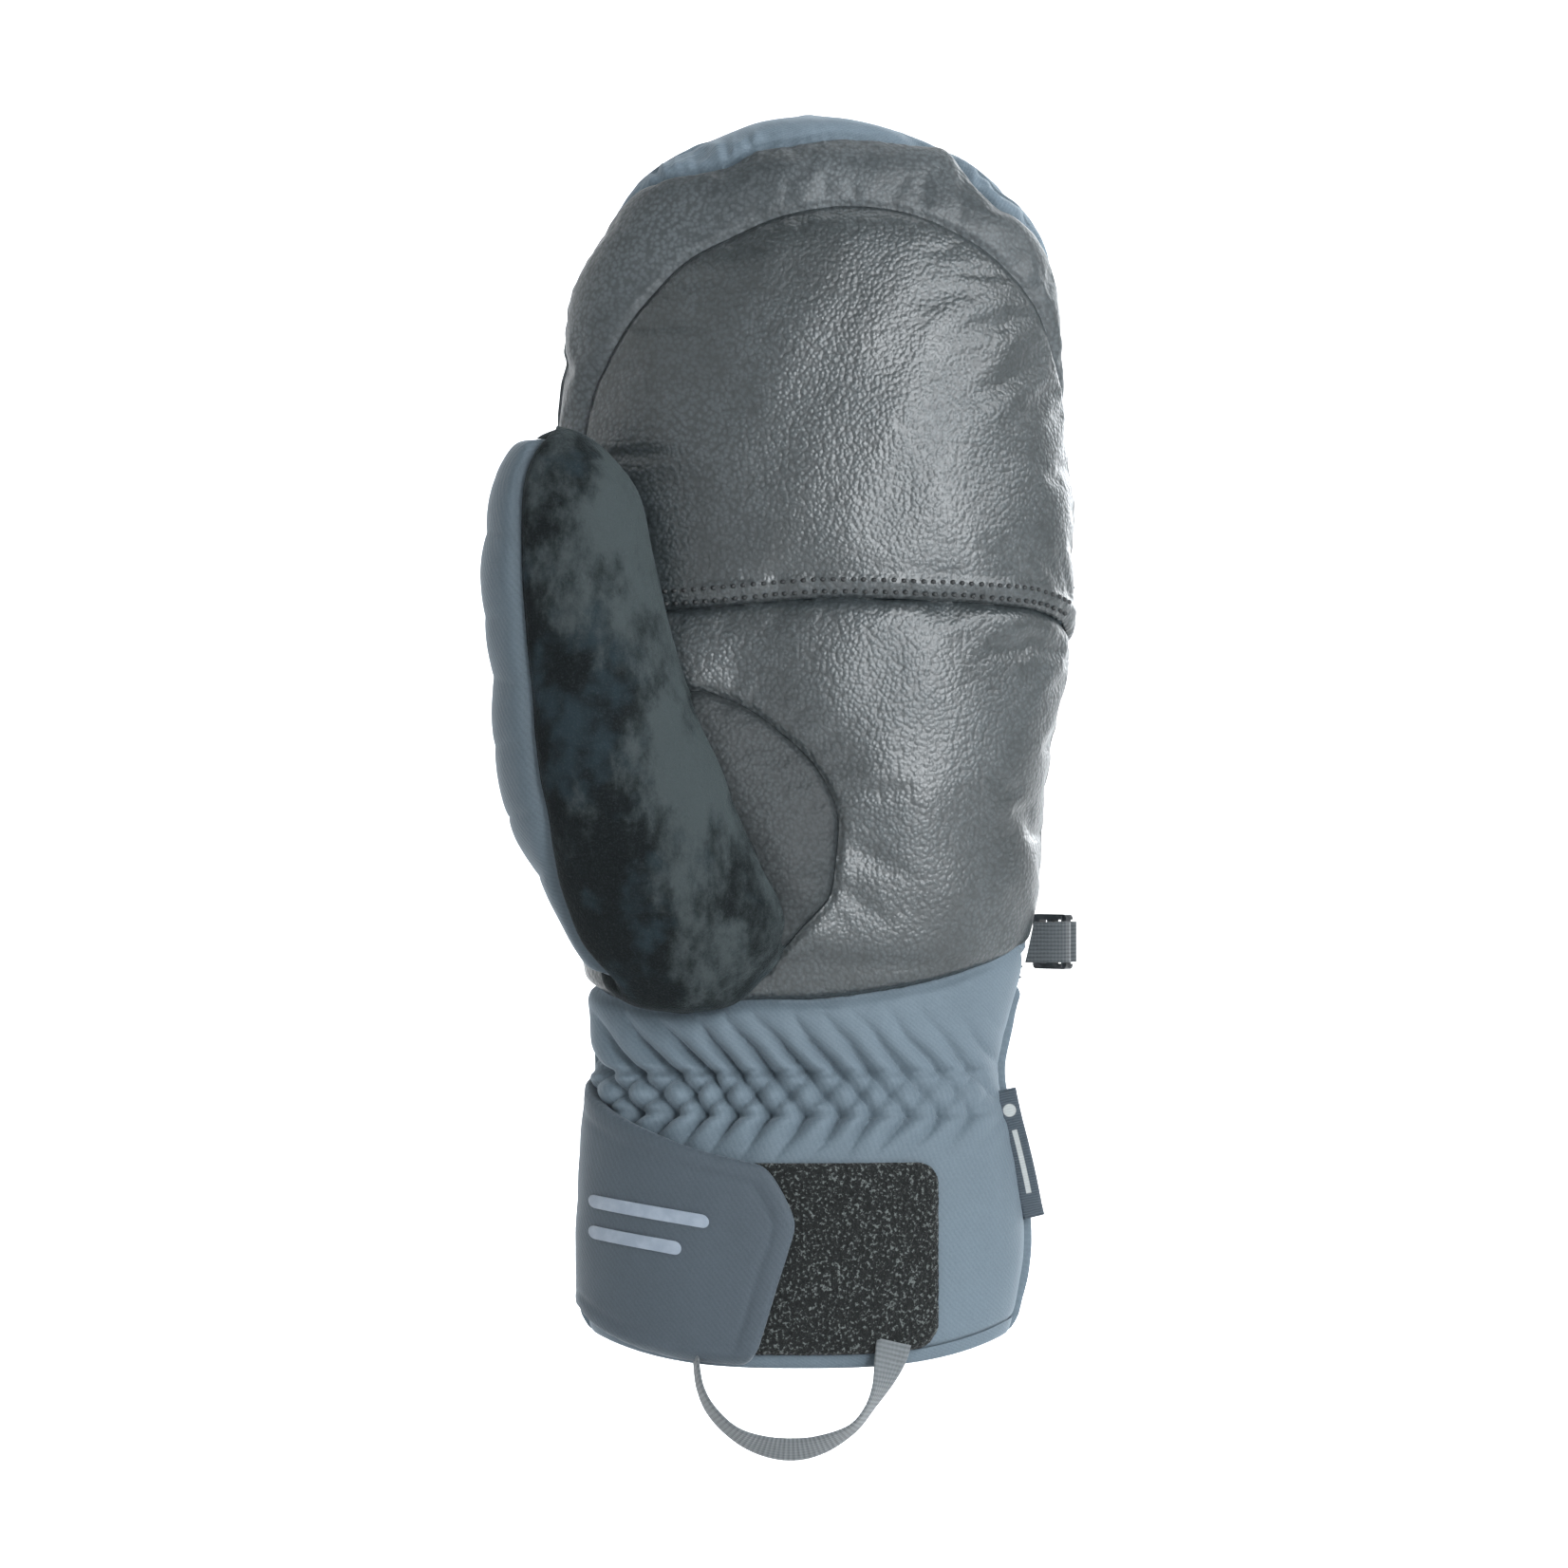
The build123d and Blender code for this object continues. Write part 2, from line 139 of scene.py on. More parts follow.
class Form:
    """A smooth form on a grid: rows along its length, columns round it."""

    def __init__(self, stations, columns, step):
        """stations: height, left, right, front and back at each place along the form."""
        dense = smooth_curve(stations, 60 * len(stations))
        half = (dense[:, 2] - dense[:, 1]) / 2
        along = np.concatenate([[0], np.cumsum(np.hypot(np.diff(dense[:, 0]), np.diff(half)))])
        self.length = along[-1]
        self.rows = int(self.length / step)
        self.columns = columns
        wanted = np.linspace(0, self.length, self.rows)
        self.station = np.stack([np.interp(wanted, along, dense[:, k]) for k in range(5)], axis=1)
        self.angle = np.arange(columns) * 360 / columns
        height, left, right, front, back = (self.station[:, k, None] for k in range(5))
        turn = np.radians(self.angle)[None, :]
        x = (left + right) / 2 + (right - left) / 2 * np.cos(turn)
        y = (front + back) / 2 + (back - front) / 2 * np.sin(turn)
        self.base = np.stack([x, y, np.broadcast_to(height, x.shape)], axis=2)
        self.shape = self.base.copy()
        self.normal = self.normals(self.base)
        self.x, self.z = self.base[:, :, 0], self.base[:, :, 2]
        self.theta = np.broadcast_to(self.angle, x.shape)
        across = np.linalg.norm(np.roll(self.base, -1, axis=1) - self.base, axis=2)
        self.per_degree = across * columns / 360
        middle = np.cumsum(across, axis=1)
        self.round = middle - middle[:, [columns // 4]]
        self.along = np.broadcast_to(wanted[:, None], x.shape)

    def normals(self, points):
        around = np.roll(points, -1, axis=1) - np.roll(points, 1, axis=1)
        up = np.gradient(points, axis=0)
        found = np.cross(around, up)
        size = np.linalg.norm(found, axis=2, keepdims=True)
        found = found / np.maximum(size, 1e-6)
        for row in (0, -1):
            flat = size[row].max() < 1e-3
            if flat:
                found[row] = (0, 0, 1 if row else -1)
        return found

    def move(self, outward):
        """Moves the surface along its normal."""
        self.shape = self.shape + self.normal * outward[:, :, None]

    def settle(self):
        self.normal = self.normals(self.shape)

    def row_of(self, z):
        """The row at a height, on the outer side."""
        turned_in = self.station[0, 0] > self.station[8, 0]
        start = int(np.argmin(self.station[: self.rows // 3, 0])) if turned_in else 0
        return start + np.interp(z, self.station[start:, 0], np.arange(self.rows - start))

    def angle_of(self, x, z, side):
        """The angle at which the form's side has that x at height z."""
        row = self.row_of(z)
        left = np.interp(row, np.arange(self.rows), self.station[:, 1])
        right = np.interp(row, np.arange(self.rows), self.station[:, 2])
        turn = np.degrees(np.arccos(np.clip((2 * x - left - right) / (right - left + 1e-9), -1, 1)))
        return turn if side == BACK else 360 - turn

    def place(self, x, z, side):
        """Column and row, as fractions, of a point given by x and z on one side."""
        return np.stack([self.angle_of(x, z, side) * self.columns / 360, self.row_of(z)], axis=-1)

    def sample(self, field, uv):
        u, v = uv[..., 0], np.clip(uv[..., 1], 0, self.rows - 1)
        i, j = np.floor(u).astype(int), np.minimum(np.floor(v).astype(int), self.rows - 2)
        fu, fv = u - i, v - j
        if field.ndim == 3:
            fu, fv = fu[..., None], fv[..., None]
        i0, i1 = i % self.columns, (i + 1) % self.columns
        low = field[j, i0] * (1 - fu) + field[j, i1] * fu
        return low * (1 - fv) + (field[j + 1, i0] * (1 - fu) + field[j + 1, i1] * fu) * fv

    def line(self, points, side):
        """A seam line in angle and height, from points in x and z."""
        return np.array([(self.angle_of(x, z, side), z) for x, z in points])

    def turned(self, side):
        """Angles that run on without a break over the side in question."""
        if side == PALM:
            return np.where(self.theta < 90, self.theta + 360, self.theta)
        return np.where(self.theta > 270, self.theta - 360, self.theta)

    def every_second(self, side):
        """Angle, height and millimetres for each degree, at every second point of the grid."""
        part = np.s_[::2, ::2]
        return self.turned(side)[part], self.z[part], self.per_degree[part]

    def far_from(self, line, side):
        """Distance over the surface to a line."""
        theta, z, scale = self.every_second(side)
        return self.fill_in(distance_to_line(theta, z, line, scale))

    def within(self, outline, side):
        """Signed distance into a region, positive inside."""
        theta, z, scale = self.every_second(side)
        closed = np.vstack([outline, outline[:1]])
        gap = distance_to_line(theta, z, closed, scale)
        return self.fill_in(np.where(inside(theta, z, outline), gap, -gap))

    def fill_in(self, coarse):
        """The full grid's values from every second one."""
        rows = np.minimum(np.arange(self.rows) / 2, coarse.shape[0] - 1)
        low = np.minimum(rows.astype(int), coarse.shape[0] - 2)
        part = (rows - low)[:, None]
        tall = coarse[low] * (1 - part) + coarse[low + 1] * part
        full = np.empty((self.rows, self.columns))
        full[:, ::2] = tall
        full[:, 1::2] = (tall + np.roll(tall, -1, axis=1)) / 2
        return full


# ---- panels -------------------------------------------------------------------------------------------


def clipped(field, wrap):
    """The part of a grid where the field is above 0: places (column, row) and faces."""
    rows, columns = field.shape
    last = columns if wrap else columns - 1
    keep = field > 0
    right = np.roll(keep, -1, axis=1)
    count = (keep[:-1] * 1 + right[:-1] + keep[1:] + right[1:])[:, :last]
    number, places, faces = {}, [], []

    def corner(i, j):
        key = (i % columns if wrap else i, j)
        if key not in number:
            number[key] = len(places)
            places.append(key)
        return number[key]

    def crossing(a, b):
        key = (a, b) if a < b else (b, a)
        if key not in number:
            (ai, aj), (bi, bj) = key
            fa, fb = field[aj, ai % columns], field[bj, bi % columns]
            part = fa / (fa - fb)
            number[key] = len(places)
            places.append((ai + (bi - ai) * part, aj + (bj - aj) * part))
        return number[key]

    for j, i in zip(*np.nonzero(count == 4)):
        faces.append((corner(i, j), corner(i + 1, j), corner(i + 1, j + 1), corner(i, j + 1)))
    for j, i in zip(*np.nonzero((count > 0) & (count < 4))):
        ring, face = [(i, j), (i + 1, j), (i + 1, j + 1), (i, j + 1)], []
        for a, b in zip(ring, ring[1:] + ring[:1]):
            in_a, in_b = keep[a[1], a[0] % columns], keep[b[1], b[0] % columns]
            if in_a:
                face.append(corner(*a))
            if in_a != in_b:
                face.append(crossing(a, b))
        if len(face) > 2:
            faces.append(tuple(int(k) for k in face))
    return np.array(places, float), faces


def rim(faces):
    """The directed edges that only one face has."""
    edges = {}
    for face in faces:
        for a, b in zip(face, face[1:] + face[:1]):
            if (b, a) in edges:
                del edges[(b, a)]
            else:
                edges[(a, b)] = True
    return list(edges)


def add_object(name, data):
    made = bpy.data.objects.new(name, data)
    bpy.context.scene.collection.objects.link(made)
    return made


def make_mesh(name, points, faces, material, uv=None, body="mitten"):
    """A piece from points in millimetres."""
    mesh = bpy.data.meshes.new(name)
    mesh.from_pydata((np.asarray(points) * MM).tolist(), [], faces)
    if uv is not None:
        layer = mesh.uv_layers.new(name="cloth")
        loops = np.empty(len(mesh.loops), int)
        mesh.loops.foreach_get("vertex_index", loops)
        layer.data.foreach_set("uv", (np.asarray(uv) * MM)[loops].astype(np.float32).ravel())
    mesh.materials.append(material)
    mesh.polygons.foreach_set("use_smooth", [True] * len(mesh.polygons))
    mesh.update()
    piece = add_object(name, mesh)
    if body:
        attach(piece, body)
    return piece


def panel(name, form, field, material, edge, width=2.2, thick=0.0, body="mitten", push=None):
    """The form's surface inside the field, with its edge rolled down by edge millimetres."""
    places, faces = clipped(field, True)
    depth = form.sample(field, places)
    points = form.sample(form.shape, places)
    normal = unit(form.sample(form.normal, places))
    outward = -edge * np.exp(-((np.maximum(depth, 0) / width) ** 1.5) * 2)
    if push is not None:
        outward = outward + form.sample(push, places)
    points = points + normal * outward[:, None]
    uv = np.stack([form.sample(form.round, places), form.sample(form.along, places)], axis=1)
    if thick:
        points, uv, faces = with_skirt(points, uv, faces, normal, thick)
    return make_mesh(name, points, faces, material, uv, body)


def with_skirt(points, uv, faces, normal, thick):
    """Adds a turned-in edge, so that the piece shows its thickness."""
    border = rim(faces)
    ends = sorted({k for edge in border for k in edge})
    number = {k: len(points) + n for n, k in enumerate(ends)}
    low = points[ends] - normal[ends] * thick
    faces = faces + [(b, a, number[a], number[b]) for a, b in border]
    return np.vstack([points, low]), np.vstack([uv, uv[ends]]), faces


def decal(
    name, form, side, box, field_of, material, step=0.35, lift=0.15, thick=0.3, body="mitten", bump=None,
    round_edge=0.0,
):
    """A small flat piece laid on one side of a form, inside field_of(x, z) > 0."""
    (x0, z0), (x1, z1) = box
    columns, rows = int((x1 - x0) / step) + 1, int((z1 - z0) / step) + 1
    x, z = np.meshgrid(np.linspace(x0, x1, columns), np.linspace(z0, z1, rows))
    field = field_of(x, z)
    places, faces = clipped(field, False)
    px, pz = x0 + places[:, 0] * (x1 - x0) / (columns - 1), z0 + places[:, 1] * (z1 - z0) / (rows - 1)
    if side == BACK:
        faces = [face[::-1] for face in faces]
    uv_form = form.place(px, pz, side)
    normal = unit(form.sample(form.normal, uv_form))
    outward = np.full(len(px), lift)
    if round_edge:
        outward -= round_edge * bell(np.maximum(field_of(px, pz), 0), round_edge)
    if bump is not None:
        outward += bump(px, pz)
    points = form.sample(form.shape, uv_form) + normal * outward[:, None]
    uv = np.stack([px, pz], axis=1)
    points, uv, faces = with_skirt(points, uv, faces, normal, thick)
    return make_mesh(name, points, faces, material, uv, body)


def stitches(name, form, line, material, pitch, length, width, lift):
    """Thread laid along a line of angles and heights, one small bead for each stitch."""
    uv = np.stack([line[:, 0] * form.columns / 360, form.row_of(line[:, 1])], axis=1)
    return beads(name, form, even_curve_on(form, uv, pitch), material, length, width, lift)


def even_curve_on(form, uv, pitch):
    """Places along a line, one pitch apart over the surface."""
    fine = np.linspace(0, len(uv) - 1, 60 * len(uv))
    dense = np.stack([np.interp(fine, np.arange(len(uv)), uv[:, k]) for k in (0, 1)], axis=1)
    points = form.sample(form.shape, dense)
    along = run_along(points)
    wanted = np.arange(pitch / 2, along[-1], pitch)
    return np.stack([np.interp(wanted, along, dense[:, k]) for k in (0, 1)], axis=1)


def beads(name, form, uv, material, length, width, lift):
    points = form.sample(form.shape, uv)
    normal = unit(form.sample(form.normal, uv))
    along = np.gradient(points, axis=0)
    along = unit(along - normal * (along * normal).sum(1, keepdims=True))
    across = np.cross(normal, along)
    verts, faces = [], []
    profile = [(-0.5, 0.0, 0.0), (-0.32, 0.8, 0.75), (0.0, 1.0, 1.0), (0.32, 0.8, 0.75), (0.5, 0.0, 0.0)]
    for p, n, t, c in zip(points, normal, along, across):
        start = len(verts)
        for place, wide, tall in profile:
            centre = p + t * place * length + n * (lift - 0.15 * (1 - tall))
            for turn in range(5):
                a = math.pi * turn / 4
                aside = c * math.cos(a) * wide * width / 2
                verts.append(centre + aside + n * math.sin(a) * tall * width * 0.55)
        for ring in range(4):
            for turn in range(4):
                a = start + ring * 5 + turn
                faces.append((a, a + 5, a + 6, a + 1))
    return make_mesh(name, np.array(verts), faces, material)


# ---- materials ----------------------------------------------------------------------------------------


class Nodes:
    """Short calls for building one material."""

    def __init__(self, name):
        self.material = bpy.data.materials.new(name)
        self.material.use_nodes = True
        self.tree = self.material.node_tree
        self.shader = self.tree.nodes["Principled BSDF"]
        self.place = self.add("ShaderNodeTexCoord")

    def add(self, kind, inputs=None, **values):
        """A node with its properties set, and each input given a value or linked to a socket."""
        node = self.tree.nodes.new(kind)
        for key, value in values.items():
            setattr(node, key, value)
        for key, value in (inputs or {}).items():
            self.put(node.inputs[key], value)
        return node

    def link(self, source, target):
        self.tree.links.new(source, target)

    def put(self, socket, value):
        if isinstance(value, bpy.types.NodeSocket):
            self.link(value, socket)
        else:
            socket.default_value = value

    def mapped(self, scale=(1, 1, 1), turn=0.0, source="Object"):
        inputs = {"Vector": self.place.outputs[source], "Scale": scale, "Rotation": (0, 0, turn)}
        return self.add("ShaderNodeMapping", inputs).outputs[0]

    def noise(self, size, detail=3.0, rough=0.55, vector=None):
        """Noise with features of about that size in metres."""
        vector = vector or self.place.outputs["Object"]
        inputs = {"Vector": vector, "Scale": 1 / size, "Detail": detail, "Roughness": rough}
        return self.add("ShaderNodeTexNoise", inputs).outputs["Fac"]

    def cells(self, size, vector=None, feature="F1", smooth=None):
        inputs = {"Vector": vector or self.place.outputs["Object"], "Scale": 1 / size}
        if smooth is not None:
            inputs["Smoothness"] = smooth
        return self.add("ShaderNodeTexVoronoi", inputs, feature=feature).outputs["Distance"]

    def stripes(self, size, vector, direction="X", warp=0.0):
        inputs = {"Vector": vector, "Scale": math.pi / 10 / size, "Distortion": warp, "Detail": 1.0}
        kind = dict(wave_type="BANDS", wave_profile="SIN", bands_direction=direction)
        return self.add("ShaderNodeTexWave", inputs, **kind).outputs["Fac"]

    def maths(self, kind, a, b=0.0):
        return self.add("ShaderNodeMath", {0: a, 1: b}, operation=kind).outputs[0]

    def plus(self, a, b):
        return self.maths("ADD", a, b)

    def times(self, a, b):
        return self.maths("MULTIPLY", a, b)

    def between(self, value, low, high, out_low=0.0, out_high=1.0):
        """out_low below low, out_high above high, smooth between."""
        inputs = {"Value": value, "From Min": low, "From Max": high, "To Min": out_low, "To Max": out_high}
        return self.add("ShaderNodeMapRange", inputs, interpolation_type="SMOOTHSTEP").outputs[0]

    def blend(self, part, a, b):
        a, b = ((*c, 1.0) if isinstance(c, tuple) else c for c in (a, b))
        return self.add("ShaderNodeMix", {0: part, 6: a, 7: b}, data_type="RGBA").outputs[2]

    def bump(self, height, depth, over=None):
        inputs = {"Strength": 1.0, "Distance": depth, "Height": height}
        if over is not None:
            inputs["Normal"] = over
        return self.add("ShaderNodeBump", inputs).outputs[0]

    def finish(self, colour=None, roughness=None, normal=None, **constants):
        for name, value in (("Base Color", colour), ("Roughness", roughness), ("Normal", normal)):
            if value is not None:
                self.put(self.shader.inputs[name], value)
        for key, value in constants.items():
            self.shader.inputs[key.replace("_", " ")].default_value = value
        return self.material


def softshell(name, light, dark, twill=0.5):
    """Stretch-woven shell fabric: a fine twill with a slightly mottled, faintly shiny face."""
    n = Nodes(name)
    ribs = n.stripes(0.00105, n.mapped(turn=math.radians(-38), source="UV"), warp=1.2)
    thread = n.noise(0.00042, 2.0, 0.6)
    cloud = n.noise(0.03, 3.0)
    fade = n.between(cloud, 0.3, 0.7)
    speck = n.between(thread, 0.32, 0.68)
    shade = n.plus(n.times(fade, 0.35), n.times(speck, 0.4))
    shade = n.plus(shade, n.times(ribs, 0.25))
    colour = n.blend(shade, dark, light)
    weave = n.bump(ribs, 0.00007 * twill)
    normal = n.bump(thread, 0.00009, weave)
    normal = n.bump(n.noise(0.006, 2.0), 0.00012, normal)
    return n.finish(
        colour, n.between(cloud, 0.2, 0.8, 0.66, 0.76), normal,
        Sheen_Weight=0.22, Sheen_Roughness=0.45, Sheen_Tint=(0.75, 0.86, 0.95, 1), Specular_IOR_Level=0.35,
    )


def goatskin(name, dark, light, gloss=0.40, grain=1.0, rough_span=0.12, shine=0.70):
    """Pebbled leather with a soft broad shine, a little duller in patches, with painted shade that darkens
    the valleys of its grain.
    """
    n = Nodes(name)
    at = n.place.outputs["Object"]
    drift = n.add("ShaderNodeTexNoise", {"Vector": at, "Scale": 600})
    wander = n.add("ShaderNodeMix", {0: 0.0005, 4: at, 5: drift.outputs["Color"]}, data_type="VECTOR")
    pebble = n.cells(0.00100, wander.outputs[1], "SMOOTH_F1", 0.45)
    fine = n.noise(0.0006, 2.0, 0.6)
    cloud = n.noise(0.022, 4.0, 0.6)
    crease = n.noise(0.004, 3.0, 0.65)
    colour = n.blend(n.between(cloud, 0.3, 0.72), dark, light)
    # Painted shade: the colour is darkened in the valleys between the pebbles.
    valley_shade = n.between(pebble, 0.25, 0.75)
    colour = n.blend(n.times(valley_shade, 0.7), colour, tuple(c * 0.55 for c in dark))
    strength = n.between(cloud, 0.25, 0.75, 0.55, 1.0)
    height = n.times(n.maths("SUBTRACT", 1.0, pebble), strength)
    normal = n.bump(crease, 0.00004 * grain)
    normal = n.bump(height, 0.00026 * grain, normal)
    normal = n.bump(fine, 0.00006, normal)
    roughness = n.between(cloud, 0.25, 0.75, gloss, gloss + rough_span)
    return n.finish(colour, roughness, normal, Specular_IOR_Level=shine, IOR=1.5)


def brushed_suede(name):
    """Short dark nap whose brushing leaves lighter and darker patches. Painted light makes the side towards
    the hand lighter and the thumb's outer side darker, and the colour is darker towards the thumb's foot.
    """
    n = Nodes(name)
    patch = n.noise(0.030, 3.0, 0.55, n.mapped(scale=(1.5, 1.5, 0.85)))
    streak = n.noise(0.006, 5.0, 0.72, n.mapped(scale=(1, 1, 0.6)))
    mixed = n.plus(n.times(patch, 0.62), n.times(streak, 0.38))
    split = n.add("ShaderNodeSeparateXYZ", {0: n.place.outputs["Object"]})
    # Painted light and shade: lighter towards the hand's side, where the key light falls, and darker on the
    # thumb's outer side.
    leant = n.plus(split.outputs[0], n.times(split.outputs[2], 0.243))
    across = n.plus(leant, 0.0046)
    painted_light_across = n.between(across, -0.017, 0.015, -0.085, 0.09)
    # Darker towards the thumb's foot.
    foot = n.between(split.outputs[2], 0.085, 0.150, -0.075, 0.012)
    # The brushing's patches and the painted light and shade together set where the nap is lit.
    lit = n.between(n.plus(mixed, n.plus(painted_light_across, foot)), 0.43, 0.60)
    fibre = n.noise(0.0005, 3.0, 0.7)
    colour = n.blend(lit, (0.0035, 0.0055, 0.0062), (0.036, 0.045, 0.047))
    blue = n.times(n.between(n.noise(0.014, 3.0), 0.5, 0.7), n.maths("SUBTRACT", 1.0, lit))
    colour = n.blend(n.times(blue, 0.5), colour, (0.020, 0.034, 0.043))
    colour = n.blend(n.times(n.between(fibre, 0.45, 0.8), 0.16), colour, (0.07, 0.083, 0.088))
    normal = n.bump(fibre, 0.00025, n.bump(streak, 0.0006))
    return n.finish(
        colour, 0.88, normal,
        Sheen_Weight=0.07, Sheen_Roughness=0.35, Sheen_Tint=(0.7, 0.85, 0.9, 1), Specular_IOR_Level=0.12,
    )


def loop_pile(name):
    """The fuzzy half of a hook-and-loop closure: black, with pale curled fibres."""
    n = Nodes(name)
    curl = n.noise(0.00082, 2.5, 0.6)
    fuzz = n.cells(0.0009)
    bright = n.between(curl, 0.53, 0.68)
    colour = n.blend(bright, (0.008, 0.0095, 0.0095), (0.105, 0.118, 0.115))
    height = n.plus(curl, n.times(fuzz, 0.4))
    return n.finish(
        colour, 0.9, n.bump(height, 0.0009),
        Sheen_Weight=0.1, Sheen_Roughness=0.5, Specular_IOR_Level=0.2,
    )


def webbing(name, light, dark, rib=0.0011, source="UV", ways=("Y", "X")):
    """Ribbed narrow tape, woven across its length."""
    n = Nodes(name)
    ribs = n.stripes(rib, n.mapped(source=source), direction=ways[0])
    warp = n.stripes(rib * 0.9, n.mapped(source=source), direction=ways[1])
    thread = n.noise(0.0005, 2.0)
    shade = n.plus(n.times(ribs, 0.5), n.times(thread, 0.5))
    colour = n.blend(shade, dark, light)
    normal = n.bump(ribs, 0.00018, n.bump(warp, 0.00006))
    return n.finish(colour, 0.72, normal, Sheen_Weight=0.15, Specular_IOR_Level=0.3)


def thread(name, colour, roughness=0.6):
    n = Nodes(name)
    ply = n.noise(0.0004, 2.0)
    tone = n.blend(ply, tuple(c * 0.7 for c in colour), tuple(c * 1.3 for c in colour))
    return n.finish(tone, roughness, n.bump(ply, 0.00006))


def fleece(name, light, dark):
    n = Nodes(name)
    nap = n.noise(0.0011, 4.0, 0.7)
    cloud = n.noise(0.01, 3.0)
    colour = n.blend(n.times(n.plus(nap, cloud), 0.5), dark, light)
    return n.finish(colour, 0.95, n.bump(nap, 0.0006), Sheen_Weight=0.3, Specular_IOR_Level=0.1)


def moulded(name):
    """Satin moulded plastic with a faint spark-eroded grain and lighter, rougher rubbed patches."""
    n = Nodes(name)
    grain = n.noise(0.00045, 2.0)
    rub = n.between(n.noise(0.003, 3.0), 0.45, 0.7)
    colour = n.blend(rub, (0.016, 0.018, 0.020), (0.045, 0.050, 0.054))
    return n.finish(colour, n.between(rub, 0, 1, 0.28, 0.42), n.bump(grain, 0.00003), Specular_IOR_Level=0.55)


def reflective(name, worn, pale):
    """Transfer print, very finely beaded."""
    n = Nodes(name)
    bead = n.cells(0.0003)
    wear = n.between(n.noise(0.004, 4.0), 0.35, 0.7)
    colour = n.blend(wear, worn, pale)
    return n.finish(colour, 0.5, n.bump(bead, 0.00003), Specular_IOR_Level=0.6)


FABRIC = softshell("softshell", (0.122, 0.160, 0.192), (0.080, 0.109, 0.133))
# A darker copy of the same softshell as the back: painted shade for the thumb's fabric.
SHADED_THUMB_FABRIC = softshell("thumb_softshell_painted_shade", (0.074, 0.098, 0.117), (0.050, 0.068, 0.083))
CUFF_FABRIC = softshell("cuff_softshell", (0.104, 0.137, 0.164), (0.072, 0.097, 0.118), 0.3)
FLAP_FABRIC = softshell("flap_softshell", (0.050, 0.065, 0.080), (0.036, 0.048, 0.060), 0.3)
LEATHER = goatskin("palm_leather", (0.022, 0.028, 0.030), (0.038, 0.047, 0.051), 0.325, 0.85, 0.08)
TIP_LEATHER = goatskin(
    "fingertip_leather", (0.036, 0.044, 0.048), (0.062, 0.073, 0.079), 0.42, 0.6, 0.12, 0.5
)
GUSSET_LEATHER = goatskin(
    "gusset_leather", (0.017, 0.021, 0.023), (0.030, 0.036, 0.038), 0.52, 0.9, 0.12, 0.35
)
SUEDE = brushed_suede("suede")
PILE = loop_pile("loop_pile")
TAPE = webbing("loop_webbing", (0.150, 0.165, 0.172), (0.075, 0.084, 0.090))
TAB = webbing("tab_webbing", (0.060, 0.070, 0.076), (0.018, 0.022, 0.025), 0.0009, "Object", ("Z", "X"))
THREAD = thread("dark_thread", (0.030, 0.040, 0.048))
HOOKS = webbing("hook_tape", (0.075, 0.082, 0.086), (0.012, 0.014, 0.015), 0.0012)
SEAM_THREAD = thread("seam_thread", (0.010, 0.012, 0.013))
LINING = fleece("lining_fleece", (0.075, 0.080, 0.085), (0.03, 0.033, 0.036))
PRINT = reflective("reflective_print", (0.42, 0.49, 0.52), (0.55, 0.62, 0.65))
BAR_PRINT = reflective("bar_print", (0.17, 0.205, 0.25), (0.22, 0.26, 0.31))


# ---- the hand's form and its seams --------------------------------------------------------------------

# Height, thumb-side edge, little-finger edge, palm face and back face. The first three turn in the hem.
HAND = Form(
    [
        (30, -43.5, 42.5, -19.0, 19.0),
        (6, -46.5, 44.5, -21.5, 21.5),
        (0.6, -48.2, 45.8, -23.2, 23.2),
        (0.4, -49.8, 47.2, -24.6, 24.6),
        (7, -51.0, 48.8, -26.0, 26.0),
        (22, -51.2, 50.4, -27.0, 27.0),
        (36, -50.8, 50.0, -27.0, 27.0),
        (48, -50.2, 48.0, -25.8, 26.5),
        (57, -49.2, 45.3, -24.0, 25.3),
        (66, -48.8, 44.7, -23.4, 24.8),
        (76, -50.0, 47.0, -24.4, 25.8),
        (88, -51.6, 50.6, -27.0, 27.4),
        (102, -53.2, 54.0, -29.6, 29.2),
        (120, -55.2, 55.6, -31.0, 30.8),
        (140, -57.0, 58.4, -31.4, 31.6),
        (160, -58.0, 61.2, -31.0, 31.6),
        (182, -58.0, 62.9, -30.2, 31.0),
        (205, -57.0, 61.8, -28.8, 29.6),
        (225, -56.0, 60.2, -26.8, 27.4),
        (242, -54.4, 59.2, -24.2, 24.8),
        (256, -48.6, 54.8, -21.0, 21.8),
        (268, -39.6, 44.0, -17.4, 18.2),
        (277, -26.5, 33.2, -13.2, 14.0),
        (283, -13.0, 17.5, -8.0, 8.6),
        (285.4, -0.5, 1.5, -0.6, 0.6),
    ],
    columns=640,
    step=0.62,
)
OUTER_FROM = int(HAND.row_of(1.0))

CROWN = [
    (-39.8, 271.5), (-28.2, 272.1), (-17.8, 274.1), (-11, 277.6), (-2.2, 279.0), (9.2, 280.6),
    (23.8, 279.6), (30, 278.6), (37.8, 272.2), (44.4, 264.6),
]
ARCH = [
    (-53.4, 175), (-53, 192), (-51.7, 210.3), (-50.2, 219.6), (-44.7, 230.6), (-37, 241.6),
    (-28.2, 250.4), (-17.8, 256), (-7.5, 260.4), (5, 263.2), (14.3, 263.4), (23.8, 262),
    (34, 258.1), (44.4, 251.3), (53.2, 241.7), (58.6, 228.4),
]
KNUCKLE = [
    (-56, 168), (-31.2, 170), (-13.6, 171.4), (2.9, 172.6), (18, 172.5), (40, 171.6), (53, 170.2),
    (60, 167.6),
]
PALM_WRIST = [
    (-52, 84), (-34, 78), (-13.6, 80), (2, 80.2), (16.7, 81.8), (31.5, 84.6), (41.4, 87.8),
    (50, 92.6),
]
